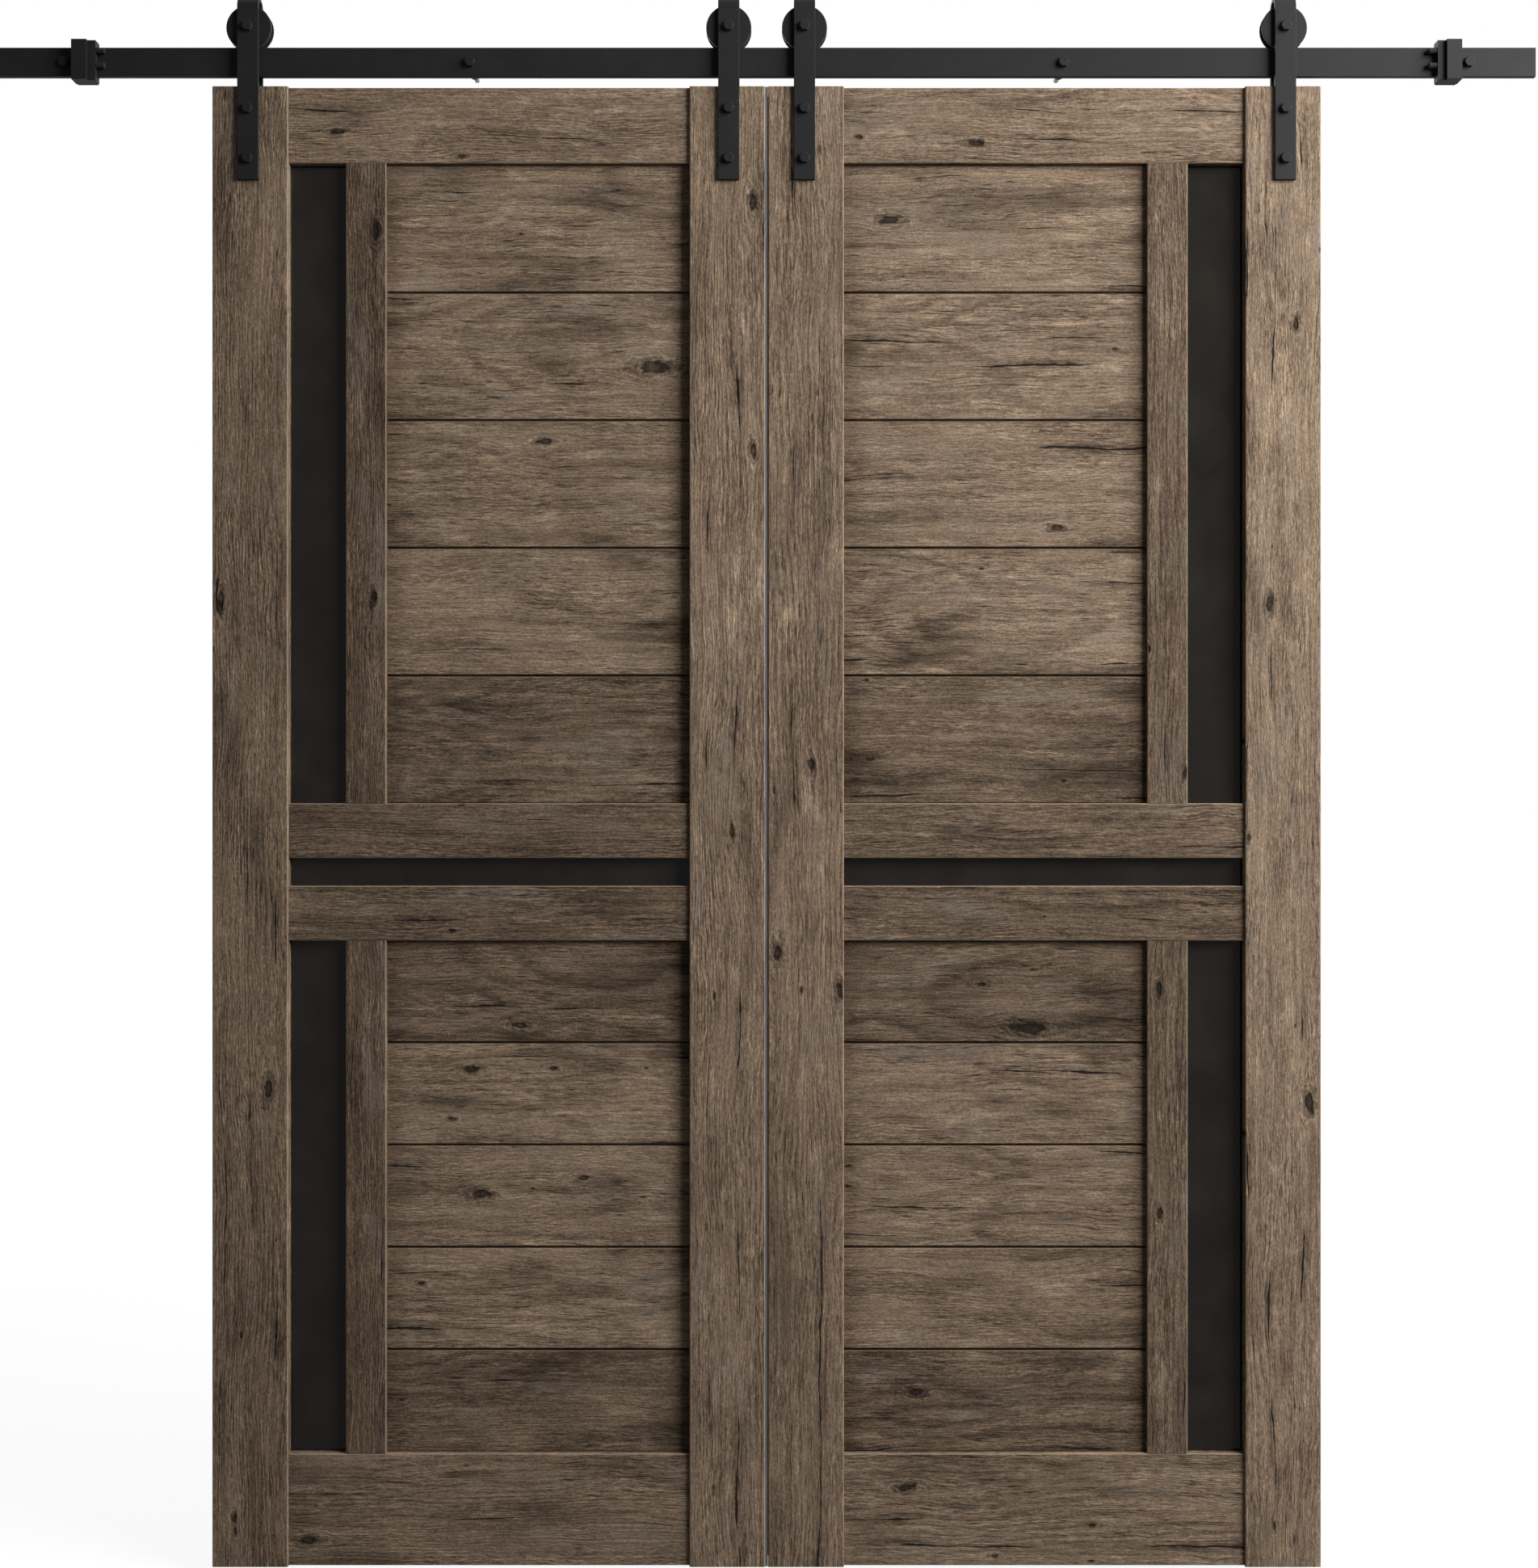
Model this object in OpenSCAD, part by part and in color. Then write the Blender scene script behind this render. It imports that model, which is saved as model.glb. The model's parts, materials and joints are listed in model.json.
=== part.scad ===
// Pair of sliding barn doors: two framed leaves that hang by straps and wheels from a flat wall track.
// X runs along the track, Y goes into the wall and Z is up. The origin lies on the wall plane,
// midway along the track and on its centre line. Lengths are in millimetres.

/* [Leaf] */
// Width of one leaf
leaf_w = 759; // [680:1:900]
// Height of one leaf
leaf_h = 2032; // [1900:1:2300]
// Gap between the two closed leaves
leaf_gap = 4; // [2:0.5:10]
// Width of a stile
stile_w = 104; // [90:1:130]
// Thickness of a stile
stile_t = 40; // [36:1:45]
// Thickness of the rails and mullions
rail_t = 30; // [24:1:34]
// Height of the top rail
top_rail_h = 104; // [80:1:140]
// Height of each middle rail
middle_rail_h = 75.5; // [60:0.5:110]
// Height of the bottom rail
bottom_rail_h = 154; // [110:1:200]
// Clear height of the lower panel
lower_panel_h = 705; // [500:1:900]
// Clear height of the pane between the middle rails
middle_pane_h = 38; // [25:1:80]
// Clear width of the glass strip beside the outer stile
strip_w = 78; // [50:1:120]
// Width of a mullion
mullion_w = 56; // [40:1:80]
// Thickness of a board
board_t = 14; // [12:0.5:18]
// Boards in each panel
board_count = 5; // [3:1:8]
// Thickness of the glass, and of the tongues and tenons that share its groove
glass_t = 6; // [4:0.5:8]

/* [Joinery] */
// Depth of the groove that holds boards, panes and tenons
groove_d = 12; // [9:0.5:16]
// Open joint between two boards
board_joint = 3; // [2:0.5:5]
// Reach of a board's tongue into the next board
board_tongue = 8; // [6:0.5:10]
// Rounding of a board's long edges
board_ease = 1.2; // [0.6:0.1:2]
// Rounding of the frame's long edges
frame_ease = 2; // [1:0.25:4]
// Diameter of a dowel
dowel_d = 10; // [8:1:12]
// Length of a dowel
dowel_l = 80; // [60:1:100]
// Width of the floor-guide groove
guide_w = 8; // [6:0.5:10]
// Depth of the floor-guide groove
guide_d = 15; // [10:1:25]

/* [Track] */
// Height of the track rail
track_h = 40; // [32:1:50]
// Thickness of the track rail
track_t = 8; // [6:0.5:10]
// Spacing of the two inner wall screws
inner_screw_pitch = 816; // [700:1:900]
// From an outer wall screw to the end of the track
track_end = 92; // [40:0.5:120]
// Length of a standoff between the wall and the track
standoff_l = 39; // [34:1:60]
// Diameter of a standoff
standoff_d = 16; // [14:1:30]
// Reach of a wall screw into the wall
screw_reach = 33; // [30:1:90]

/* [Hangers] */
// Width of a strap
strap_w = 29; // [25:1:40]
// Thickness of a strap
strap_t = 5; // [4:0.5:6]
// From a leaf's edge to the middle of its strap
hanger_inset = 50; // [40:1:55]
// Gap from the track rail down to the leaf
leaf_drop = 15; // [12:0.5:25]
// Reach of a strap below the top of the leaf
strap_reach = 129; // [120:1:180]
// From the top of the leaf to the first door bolt
bolt_drop = 31.5; // [25:0.5:45]
// Spacing of the two door bolts
bolt_pitch = 68.5; // [50:0.5:75]
// Diameter of the wheel where it rolls
tread_d = 51.4; // [45:0.1:60]
// Height of the wheel's flanges over the tread
flange_h = 5.3; // [4:0.1:7]
// Thickness of a wheel flange
flange_t = 3.5; // [3:0.1:5]
// Diameter of the bolts and wall screws
bolt_d = 8; // [7:0.5:9]
// Width of the hex heads across their flats
hex_af = 13; // [12:0.5:15]
// Height of a hex head
head_h = 5.3; // [4:0.1:7]

/* [Stops] */
// Travel of a leaf from closed to its stop
travel = 182; // [120:1:240]
// Length of the stop's outer, thicker block along the track
stop_outer_l = 20.5; // [18:0.5:30]
// Length of the stop's inner, thinner block along the track
stop_inner_l = 11; // [8:0.5:16]
// Thickness of the stop's inner block in front of the track
stop_web = 9; // [8.5:0.5:12]
// Step from the inner block's face out to the outer block's face
stop_step = 5; // [3:0.5:8]
// Thickness of the stop over the track's top edge
stop_top = 7; // [6:0.5:9]
// Thickness of the stop under the track's bottom edge
stop_bottom = 8; // [6:0.5:9]
// Diameter of a bumper
bumper_d = 8; // [6:0.5:8]
// Length of a bumper that stands out of the stop
bumper_l = 12; // [10:0.5:16]
// Spacing of a stop's two bumpers
bumper_pitch = 20; // [16:0.5:24]

/* [Hidden] */
LEAF_PIECES = [
    "outer_stile", "meeting_stile", "top_rail", "upper_middle_rail", "lower_middle_rail", "bottom_rail",
    "upper_mullion", "lower_mullion", "upper_boards", "lower_boards", "upper_pane", "middle_pane",
    "lower_pane", "dowels", "outer_strap", "inner_strap", "door_bolts", "sleeve_nuts", "axle_bolts",
    "axle_nuts", "axle_spacers", "bearing_inner_rings", "outer_wheel", "inner_wheel", "outer_bearing",
    "inner_bearing", "stop_block"
];
TRACK_PIECES = [
    "track_rail", "wall_standoffs", "wall_screws", "stop_clamp_plates", "stop_clamp_screws", "stop_bumpers"
];
$fn = 96;
// Number of sides of a hex
hex = 6;
// Overrun of every cut past the face it leaves
overrun = 1;
left = 0;
right = 1;
outer = 0;
inner = 1;

// Finishes
oak = "#85715d";
black_glass = "#232220";
black_steel = "#3a3a3b";
bright_steel = "#b4b6b8";
black_rubber = "#1d1d1e";
beech = "#c8a878";

// Leaf layout: u from the outer edge, z from the bottom edge
groove_play = 0.2;
groove_w = glass_t + 2 * groove_play;
groove_room = 1;
tongue_l = groove_d - groove_room;
bay_w = leaf_w - 2 * stile_w;
boards_w = bay_w - strip_w - mullion_w;
mullion_u = stile_w + strip_w;
boards_u = mullion_u + mullion_w;
lower_panel_z = bottom_rail_h;
lower_middle_rail_z = lower_panel_z + lower_panel_h;
middle_pane_z = lower_middle_rail_z + middle_rail_h;
upper_middle_rail_z = middle_pane_z + middle_pane_h;
upper_panel_z = upper_middle_rail_z + middle_rail_h;
top_rail_z = leaf_h - top_rail_h;
upper_panel_h = top_rail_z - upper_panel_z;

// Dowels: two in the solid wood of each rail's end, between its grooves
dowel_play = 0.1;
dowel_bore_d = dowel_d + 2 * dowel_play;
dowel_bore_l = dowel_l + 2 * groove_room;
dowel_ease = 1;
dowel_shares = [0.25, 0.75];
top_rail_wood = [top_rail_z + groove_d, leaf_h];
upper_middle_rail_wood = [upper_middle_rail_z + groove_d, upper_panel_z - groove_d];
lower_middle_rail_wood = [lower_middle_rail_z + groove_d, middle_pane_z - groove_d];
bottom_rail_wood = [guide_d, bottom_rail_h - groove_d];
RAIL_WOODS = [top_rail_wood, upper_middle_rail_wood, lower_middle_rail_wood, bottom_rail_wood];

// Track and wheel, stacked from the wall outwards
track_y = -standoff_l - track_t / 2;
track_front_y = -standoff_l - track_t;
track_ease = 0.8;
track_side_play = 0.5;
roll_play = 0.3;
wheel_groove_w = track_t + 2 * track_side_play;
wheel_w = wheel_groove_w + 2 * flange_t;
wheel_side_play = 1;
flange_r = tread_d / 2 + flange_h;
flange_ease = 0.8;
flank_draft = 0.6;
axle_z = track_h / 2 + roll_play + tread_d / 2;

// Straps bend over the wheels, and the front legs lie on the stiles
strap_gap = wheel_w + 2 * wheel_side_play;
strap_ease = 0.6;
crown_room = 6;
back_leg_room = 4;
bend_z = axle_z + flange_r + crown_room - strap_gap / 2;
front_leg_y = track_y - strap_gap / 2;
back_leg_y = track_y + strap_gap / 2;
leaf_y = front_leg_y + stile_t / 2;
leaf_top_z = -track_h / 2 - leaf_drop;
leaf_z = leaf_top_z - leaf_h;
leaf_edge_x = leaf_gap / 2 + leaf_w;
hanger_xs = [leaf_edge_x - hanger_inset, leaf_gap / 2 + hanger_inset];
bolt_drops = [bolt_drop, bolt_drop + bolt_pitch];
back_leg_z = leaf_top_z + back_leg_room;
front_leg_z = leaf_top_z - strap_reach;

// Bolts, nuts and bearings
hole_play = 0.2;
bolt_hole_d = bolt_d + 2 * hole_play;
thread_play = 0.05;
thread_hole_d = bolt_d + 2 * thread_play;
tip_ease = 1;
head_top_share = 0.95;
head_slope = 30;
nut_hex_h = 6.5;
nut_collar_d = 11.8;
nut_collar_h = 1.6;
axle_past_nut = 3;
axle_l = strap_gap + 2 * strap_t + nut_hex_h + nut_collar_h + axle_past_nut;
sleeve_wall = 1;
sleeve_d = bolt_d + 2 * (thread_play + sleeve_wall);
sleeve_hole_d = sleeve_d + 2 * hole_play;
sleeve_l_share = 0.75;
sleeve_l = sleeve_l_share * stile_t;
sleeve_flange_d = 22;
sleeve_flange_t = 3;
socket_af = 5;
door_bolt_l_share = 0.8;
door_bolt_l = strap_t + door_bolt_l_share * stile_t;
bearing_d = 22;
bearing_w = 7;
bearing_play = 0.03;
bearing_ease = 0.4;
ball_d = 4;
ball_count = 7;
ball_play = 0.1;
ball_land = 1.3;
ball_circle_r = (bearing_d + bolt_d) / 4;
lip_d = 16;
spacer_d = 12;

// Stops: the inner face of the bumpers stands where a strap's edge ends its travel
strap_stop_play = 0.5;
bumper_x = hanger_xs[outer] + strap_w / 2 + travel + strap_stop_play;
stop_inner_x = bumper_x + bumper_l;
stop_step_x = stop_inner_x + stop_inner_l;
stop_outer_x = stop_step_x + stop_outer_l;
stop_lip_short = 0.3;
stop_ease = 0.8;
bumper_rise = 3.5;
bumper_zs = [bumper_rise - bumper_pitch / 2, bumper_rise + bumper_pitch / 2];
bumper_stem_d = 5;
bumper_stem_l = 6;
bumper_ease = 0.8;
plate_t = 3;
plate_inset = 2;
screw_to_stop = 14;
outer_screw_x = stop_outer_x + screw_to_stop;
plate_to_standoff = 7.5;
plate_x = stop_inner_x + plate_inset;
plate_l = outer_screw_x - standoff_d / 2 - plate_to_standoff - plate_x;
clamp_screw_d = 4;
clamp_screw_l = 9;
clamp_head_d = 7;
clamp_head_h = 2.4;
clamp_socket_af = 2.5;
clamp_socket_d = 1.4;
clamp_screw_zs = [-track_h / 2 - stop_bottom / 2, track_h / 2 + stop_top / 2];

// Wall screws
inner_screw_x = inner_screw_pitch / 2;
screw_xs = [-outer_screw_x, -inner_screw_x, inner_screw_x, outer_screw_x];
screw_hole_play = 0.5;
screw_hole_d = bolt_d + 2 * screw_hole_play;
standoff_ease = 0.8;
screw_grip = track_t + standoff_l;
thread_d_share = 0.875;
thread_d = thread_d_share * bolt_d;
screw_tip_l = 8;
track_l = 2 * (outer_screw_x + track_end);

// Turns a piece made along +Z so that it runs along +X
module along_x() {
    rotate([0, 90, 0]) children();
}

// Turns a piece made along +Z so that it runs along +Y
module along_y() {
    rotate([-90, 0, 0]) children();
}

// Extrudes a section drawn in Y and Z along +X
module section_x(length) {
    rotate([90, 0, 90]) linear_extrude(length) children();
}

// Rectangle about the origin with rounded corners
module eased_rect(w, h, r) {
    square([w - 2 * r, h], center = true);
    square([w, h - 2 * r], center = true);
    for (i = [-1, 1], j = [-1, 1])
        translate([i * (w / 2 - r), j * (h / 2 - r)]) circle(r);
}

// Round bar or tube along +Z with eased outer edges
module eased_tube(d, bore, l, ease) {
    r = d / 2;
    b = bore / 2;
    rotate_extrude()
        polygon([[b, 0], [r - ease, 0], [r, ease], [r, l - ease], [r - ease, l], [b, l]]);
}

// The left side is modelled, and the right side is its mirror image
module handed(hand) {
    if (hand == right) mirror([1, 0, 0]) children();
    else children();
}

// Frame of a leaf: X from its outer edge, Y from its middle plane, Z from its bottom edge
module in_leaf(hand) {
    handed(hand) translate([-leaf_edge_x, leaf_y, leaf_z]) children();
}

// Turns a leaf's outer side into its meeting side
module across_leaf() {
    translate([leaf_w, 0, 0]) mirror([1, 0, 0]) children();
}

// Frame of a hanger: X from the middle of its strap, Y and Z as in the whole part
module at_hanger(hand, place) {
    handed(hand) translate([-hanger_xs[place], 0, 0]) children();
}

// Row of dowels across the shoulder between the outer stile and the rails
module dowel_row(woods, d, l, ease) {
    for (wood = woods, share = dowel_shares)
        translate([stile_w - l / 2, 0, wood[0] + share * (wood[1] - wood[0])])
            along_x() eased_tube(d, 0, l, ease);
}

// Bores for the dowels of the given rails, at both ends
module dowel_bores(woods) {
    dowel_row(woods, dowel_bore_d, dowel_bore_l, dowel_ease);
    across_leaf() dowel_row(woods, dowel_bore_d, dowel_bore_l, dowel_ease);
}

// Floor-guide groove along the whole bottom edge
module guide_groove() {
    translate([-overrun, -guide_w / 2, -overrun]) cube([leaf_w + 2 * overrun, guide_w, guide_d + overrun]);
}

// Stile with a panel groove in its inner edge, dowel bores and stepped bores for the door bolts
module stile() {
    difference() {
        linear_extrude(leaf_h) difference() {
            translate([stile_w / 2, 0]) eased_rect(stile_w, stile_t, frame_ease);
            translate([stile_w - groove_d, -groove_w / 2]) square([groove_d + overrun, groove_w]);
        }
        dowel_row(RAIL_WOODS, dowel_bore_d, dowel_bore_l, dowel_ease);
        guide_groove();
        for (drop = bolt_drops) translate([hanger_inset, 0, leaf_h - drop]) {
            translate([0, -stile_t / 2 - overrun, 0])
                along_y() cylinder(d = bolt_hole_d, h = stile_t + 2 * overrun);
            translate([0, stile_t / 2 - sleeve_l, 0])
                along_y() cylinder(d = sleeve_hole_d, h = sleeve_l + overrun);
        }
    }
}

module outer_stile(hand) {
    color(oak) in_leaf(hand) stile();
}

module meeting_stile(hand) {
    color(oak) in_leaf(hand) across_leaf() stile();
}

// Rail with stub tenons, grooved in its lower and upper edge where a panel meets it
module rail(z, h, lower_groove, upper_groove, wood) {
    difference() {
        union() {
            translate([stile_w, 0, z + h / 2]) section_x(bay_w) eased_rect(rail_t, h, frame_ease);
            translate([stile_w - tongue_l, -glass_t / 2, z]) cube([bay_w + 2 * tongue_l, glass_t, h]);
        }
        if (lower_groove) rail_groove(z - overrun);
        if (upper_groove) rail_groove(z + h - groove_d);
        dowel_bores([wood]);
    }
}

// Panel groove along a rail's edge, open through its tenons
module rail_groove(z) {
    translate([stile_w - groove_d, -groove_w / 2, z])
        cube([bay_w + 2 * groove_d, groove_w, groove_d + overrun]);
}

module top_rail(hand) {
    color(oak) in_leaf(hand) rail(top_rail_z, top_rail_h, true, false, top_rail_wood);
}

module upper_middle_rail(hand) {
    color(oak) in_leaf(hand)
        rail(upper_middle_rail_z, middle_rail_h, true, true, upper_middle_rail_wood);
}

module lower_middle_rail(hand) {
    color(oak) in_leaf(hand)
        rail(lower_middle_rail_z, middle_rail_h, true, true, lower_middle_rail_wood);
}

module bottom_rail(hand) {
    color(oak) in_leaf(hand) difference() {
        rail(0, bottom_rail_h, false, true, bottom_rail_wood);
        guide_groove();
    }
}

// Mullion with a panel groove in both edges and a stub tenon at each end
module mullion(z, h) {
    translate([mullion_u + mullion_w / 2, 0, z]) difference() {
        union() {
            linear_extrude(h) eased_rect(mullion_w, rail_t, frame_ease);
            translate([-mullion_w / 2, -glass_t / 2, -tongue_l])
                cube([mullion_w, glass_t, h + 2 * tongue_l]);
        }
        for (side = [0, 1]) mirror([side, 0, 0])
            translate([mullion_w / 2 - groove_d, -groove_w / 2, -groove_d])
                cube([groove_d + overrun, groove_w, h + 2 * groove_d]);
    }
}

module upper_mullion(hand) {
    color(oak) in_leaf(hand) mullion(upper_panel_z, upper_panel_h);
}

module lower_mullion(hand) {
    color(oak) in_leaf(hand) mullion(lower_panel_z, lower_panel_h);
}

// Board with end tongues: its top tongue runs into the next board, or into the rail above the last one
module board(pitch, first, last) {
    low = first ? 0 : board_joint / 2;
    high = pitch - (last ? 0 : board_joint / 2);
    tongue_low = first ? -tongue_l : low;
    tongue_high = high + (last ? tongue_l : board_joint + board_tongue);
    difference() {
        union() {
            translate([0, 0, (low + high) / 2])
                section_x(boards_w) eased_rect(board_t, high - low, board_ease);
            translate([-tongue_l, -glass_t / 2, low])
                cube([boards_w + 2 * tongue_l, glass_t, high - low]);
            translate([0, -glass_t / 2, tongue_low]) cube([boards_w, glass_t, tongue_high - tongue_low]);
        }
        if (!first) translate([-groove_d, -groove_w / 2, low - overrun])
            cube([boards_w + 2 * groove_d, groove_w, board_tongue + groove_room + overrun]);
    }
}

// Stack of boards between two rails
module boards(z, h) {
    pitch = h / board_count;
    for (i = [0 : board_count - 1])
        translate([boards_u, 0, z + i * pitch]) board(pitch, i == 0, i == board_count - 1);
}

module upper_boards(hand) {
    color(oak) in_leaf(hand) boards(upper_panel_z, upper_panel_h);
}

module lower_boards(hand) {
    color(oak) in_leaf(hand) boards(lower_panel_z, lower_panel_h);
}

// Pane over a clear opening, with its edges in the grooves
module pane(w, z, h) {
    translate([stile_w - tongue_l, -glass_t / 2, z - tongue_l])
        cube([w + 2 * tongue_l, glass_t, h + 2 * tongue_l]);
}

module upper_pane(hand) {
    color(black_glass) in_leaf(hand) pane(strip_w, upper_panel_z, upper_panel_h);
}

module middle_pane(hand) {
    color(black_glass) in_leaf(hand) pane(bay_w, middle_pane_z, middle_pane_h);
}

module lower_pane(hand) {
    color(black_glass) in_leaf(hand) pane(strip_w, lower_panel_z, lower_panel_h);
}

module dowels(hand) {
    color(beech) in_leaf(hand) {
        dowel_row(RAIL_WOODS, dowel_d, dowel_l, dowel_ease);
        across_leaf() dowel_row(RAIL_WOODS, dowel_d, dowel_l, dowel_ease);
    }
}

// Flat bar bent over the wheel: a long front leg on the stile, a half turn and a short back leg
module strap(hand, place) {
    color(black_steel) at_hanger(hand, place) difference() {
        union() {
            translate([0, front_leg_y - strap_t / 2, front_leg_z])
                linear_extrude(bend_z - front_leg_z) eased_rect(strap_w, strap_t, strap_ease);
            translate([0, back_leg_y + strap_t / 2, back_leg_z])
                linear_extrude(bend_z - back_leg_z) eased_rect(strap_w, strap_t, strap_ease);
            translate([0, track_y, bend_z]) along_x() rotate([0, 0, 90]) rotate_extrude(angle = 180)
                translate([(strap_gap + strap_t) / 2, 0]) eased_rect(strap_t, strap_w, strap_ease);
        }
        translate([0, front_leg_y - strap_t - overrun, axle_z])
            along_y() cylinder(d = bolt_hole_d, h = strap_gap + 2 * (strap_t + overrun));
        for (drop = bolt_drops) translate([0, front_leg_y - strap_t - overrun, leaf_top_z - drop])
            along_y() cylinder(d = bolt_hole_d, h = strap_t + 2 * overrun);
    }
}

// Hex of the given height along +Z, with the corners of its far end turned down
module hex_block(h) {
    corner_r = hex_af / 2 / cos(180 / hex);
    top_r = head_top_share * hex_af / 2;
    drop = (corner_r - top_r) * tan(head_slope);
    intersection() {
        cylinder(r = corner_r, h = h, $fn = hex);
        rotate_extrude()
            polygon([[0, 0], [corner_r, 0], [corner_r, h - drop], [top_r, h], [0, h]]);
    }
}

// Bolt along +Z from under its head
module hex_bolt(l) {
    mirror([0, 0, 1]) hex_block(head_h);
    eased_tube(bolt_d, 0, l, tip_ease);
}

module door_bolts(hand) {
    color(black_steel) for (place = [outer, inner], drop = bolt_drops)
        at_hanger(hand, place) translate([0, front_leg_y - strap_t, leaf_top_z - drop])
            along_y() hex_bolt(door_bolt_l);
}

// Sleeve nut let in from the back, with a hex socket in its flange
module sleeve_nut() {
    difference() {
        union() {
            translate([0, 0, -sleeve_l]) cylinder(d = sleeve_d, h = sleeve_l);
            eased_tube(sleeve_flange_d, 0, sleeve_flange_t, tip_ease);
        }
        translate([0, 0, -sleeve_l - overrun]) cylinder(d = thread_hole_d, h = sleeve_l + overrun);
        cylinder(d = socket_af / cos(180 / hex), h = sleeve_flange_t + overrun, $fn = hex);
    }
}

module sleeve_nuts(hand) {
    color(black_steel) for (place = [outer, inner], drop = bolt_drops)
        at_hanger(hand, place) translate([0, leaf_y + stile_t / 2, leaf_top_z - drop])
            along_y() sleeve_nut();
}

module axle_bolts(hand) {
    color(black_steel) for (place = [outer, inner])
        at_hanger(hand, place) translate([0, front_leg_y - strap_t, axle_z])
            along_y() hex_bolt(axle_l);
}

// Lock nut with a round collar
module lock_nut() {
    difference() {
        union() {
            hex_block(nut_hex_h);
            cylinder(d = nut_collar_d, h = nut_hex_h + nut_collar_h);
        }
        translate([0, 0, -overrun]) cylinder(d = thread_hole_d, h = nut_hex_h + nut_collar_h + 2 * overrun);
    }
}

module axle_nuts(hand) {
    color(black_steel) for (place = [outer, inner])
        at_hanger(hand, place) translate([0, back_leg_y + strap_t, axle_z]) along_y() lock_nut();
}

module axle_spacers(hand) {
    spacer_l = (strap_gap - bearing_w) / 2;
    color(bright_steel) for (place = [outer, inner], y = [front_leg_y, back_leg_y - spacer_l])
        at_hanger(hand, place) translate([0, y, axle_z])
            along_y() eased_tube(spacer_d, thread_hole_d, spacer_l, bearing_ease);
}

// Round groove that the balls run in
module ball_track() {
    rotate_extrude() translate([ball_circle_r, 0]) circle(d = ball_d + 2 * ball_play);
}

module bearing_inner_rings(hand) {
    color(bright_steel) for (place = [outer, inner])
        at_hanger(hand, place) translate([0, track_y, axle_z]) along_y() difference() {
            translate([0, 0, -bearing_w / 2])
                eased_tube(2 * (ball_circle_r - ball_land), thread_hole_d, bearing_w, bearing_ease);
            ball_track();
        }
}

// Outer ring with the balls that it carries round
module bearing(hand, place) {
    color(bright_steel) at_hanger(hand, place) translate([0, track_y, axle_z]) along_y() {
        difference() {
            translate([0, 0, -bearing_w / 2])
                eased_tube(bearing_d, 2 * (ball_circle_r + ball_land), bearing_w, bearing_ease);
            ball_track();
        }
        for (i = [0 : ball_count - 1])
            rotate([0, 0, 360 * i / ball_count]) translate([ball_circle_r, 0, 0]) sphere(d = ball_d);
    }
}

// Wheel turned with a groove for the track, and a pocket from the back that holds the bearing
module wheel(hand, place) {
    pocket_r = bearing_d / 2 + bearing_play;
    tread_r = tread_d / 2;
    flank_w = wheel_groove_w / 2 + flank_draft;
    color(black_steel) at_hanger(hand, place) translate([0, track_y, axle_z]) along_y() rotate_extrude()
        polygon([
            [lip_d / 2, -wheel_w / 2], [flange_r - flange_ease, -wheel_w / 2],
            [flange_r, flange_ease - wheel_w / 2], [flange_r, -flank_w],
            [tread_r, -wheel_groove_w / 2], [tread_r, wheel_groove_w / 2],
            [flange_r, flank_w], [flange_r, wheel_w / 2 - flange_ease],
            [flange_r - flange_ease, wheel_w / 2], [pocket_r, wheel_w / 2],
            [pocket_r, -bearing_w / 2], [lip_d / 2, -bearing_w / 2]
        ]);
}

module track_rail() {
    color(black_steel) difference() {
        translate([-track_l / 2, track_y, 0]) section_x(track_l) eased_rect(track_t, track_h, track_ease);
        for (x = screw_xs) translate([x, track_front_y - overrun, 0])
            along_y() cylinder(d = screw_hole_d, h = track_t + 2 * overrun);
    }
}

module wall_standoffs() {
    color(black_steel) for (x = screw_xs) translate([x, -standoff_l, 0])
        along_y() eased_tube(standoff_d, screw_hole_d, standoff_l, standoff_ease);
}

// Coach screw along +Z from under its head: a full shank as far as the wall, then a pointed thread
module coach_screw() {
    mirror([0, 0, 1]) hex_block(head_h);
    rotate_extrude()
        polygon([[0, 0], [bolt_d / 2, 0], [bolt_d / 2, screw_grip], [thread_d / 2, screw_grip],
                 [thread_d / 2, screw_grip + screw_reach - screw_tip_l], [0, screw_grip + screw_reach]]);
}

module wall_screws() {
    color(black_steel) for (x = screw_xs) translate([x, track_front_y, 0]) along_y() coach_screw();
}

// One length of the stop: a block in front of the track with lips over and under it
module stop_length(x, length, web) {
    top_z = track_h / 2 + stop_top;
    bottom_z = -track_h / 2 - stop_bottom;
    depth = web + track_t - stop_lip_short;
    translate([-x - length, 0, 0]) difference() {
        translate([0, track_front_y - web + depth / 2, (top_z + bottom_z) / 2])
            section_x(length) eased_rect(depth, top_z - bottom_z, stop_ease);
        translate([-overrun, track_front_y, -track_h / 2])
            cube([length + 2 * overrun, track_t, track_h]);
    }
}

module stop_block(hand) {
    color(black_steel) handed(hand) difference() {
        union() {
            stop_length(stop_step_x, stop_outer_l, stop_web + stop_step);
            stop_length(stop_inner_x, stop_inner_l, stop_web);
        }
        for (z = bumper_zs) translate([-stop_inner_x - bumper_stem_l, track_front_y - stop_web / 2, z])
            along_x() cylinder(d = bumper_stem_d, h = bumper_stem_l + overrun);
        for (z = clamp_screw_zs) translate([-plate_x - plate_l / 2, -standoff_l + overrun, z])
            rotate([90, 0, 0]) cylinder(d = clamp_screw_d, h = clamp_screw_l + overrun);
    }
}

module stop_clamp_plates() {
    plate_h = track_h + stop_top + stop_bottom;
    color(black_steel) for (hand = [left, right]) handed(hand) difference() {
        translate([-plate_x - plate_l, -standoff_l, -track_h / 2 - stop_bottom])
            cube([plate_l, plate_t, plate_h]);
        for (z = clamp_screw_zs) translate([-plate_x - plate_l / 2, -standoff_l - overrun, z])
            along_y() cylinder(d = clamp_screw_d + 2 * hole_play, h = plate_t + 2 * overrun);
    }
}

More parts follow.
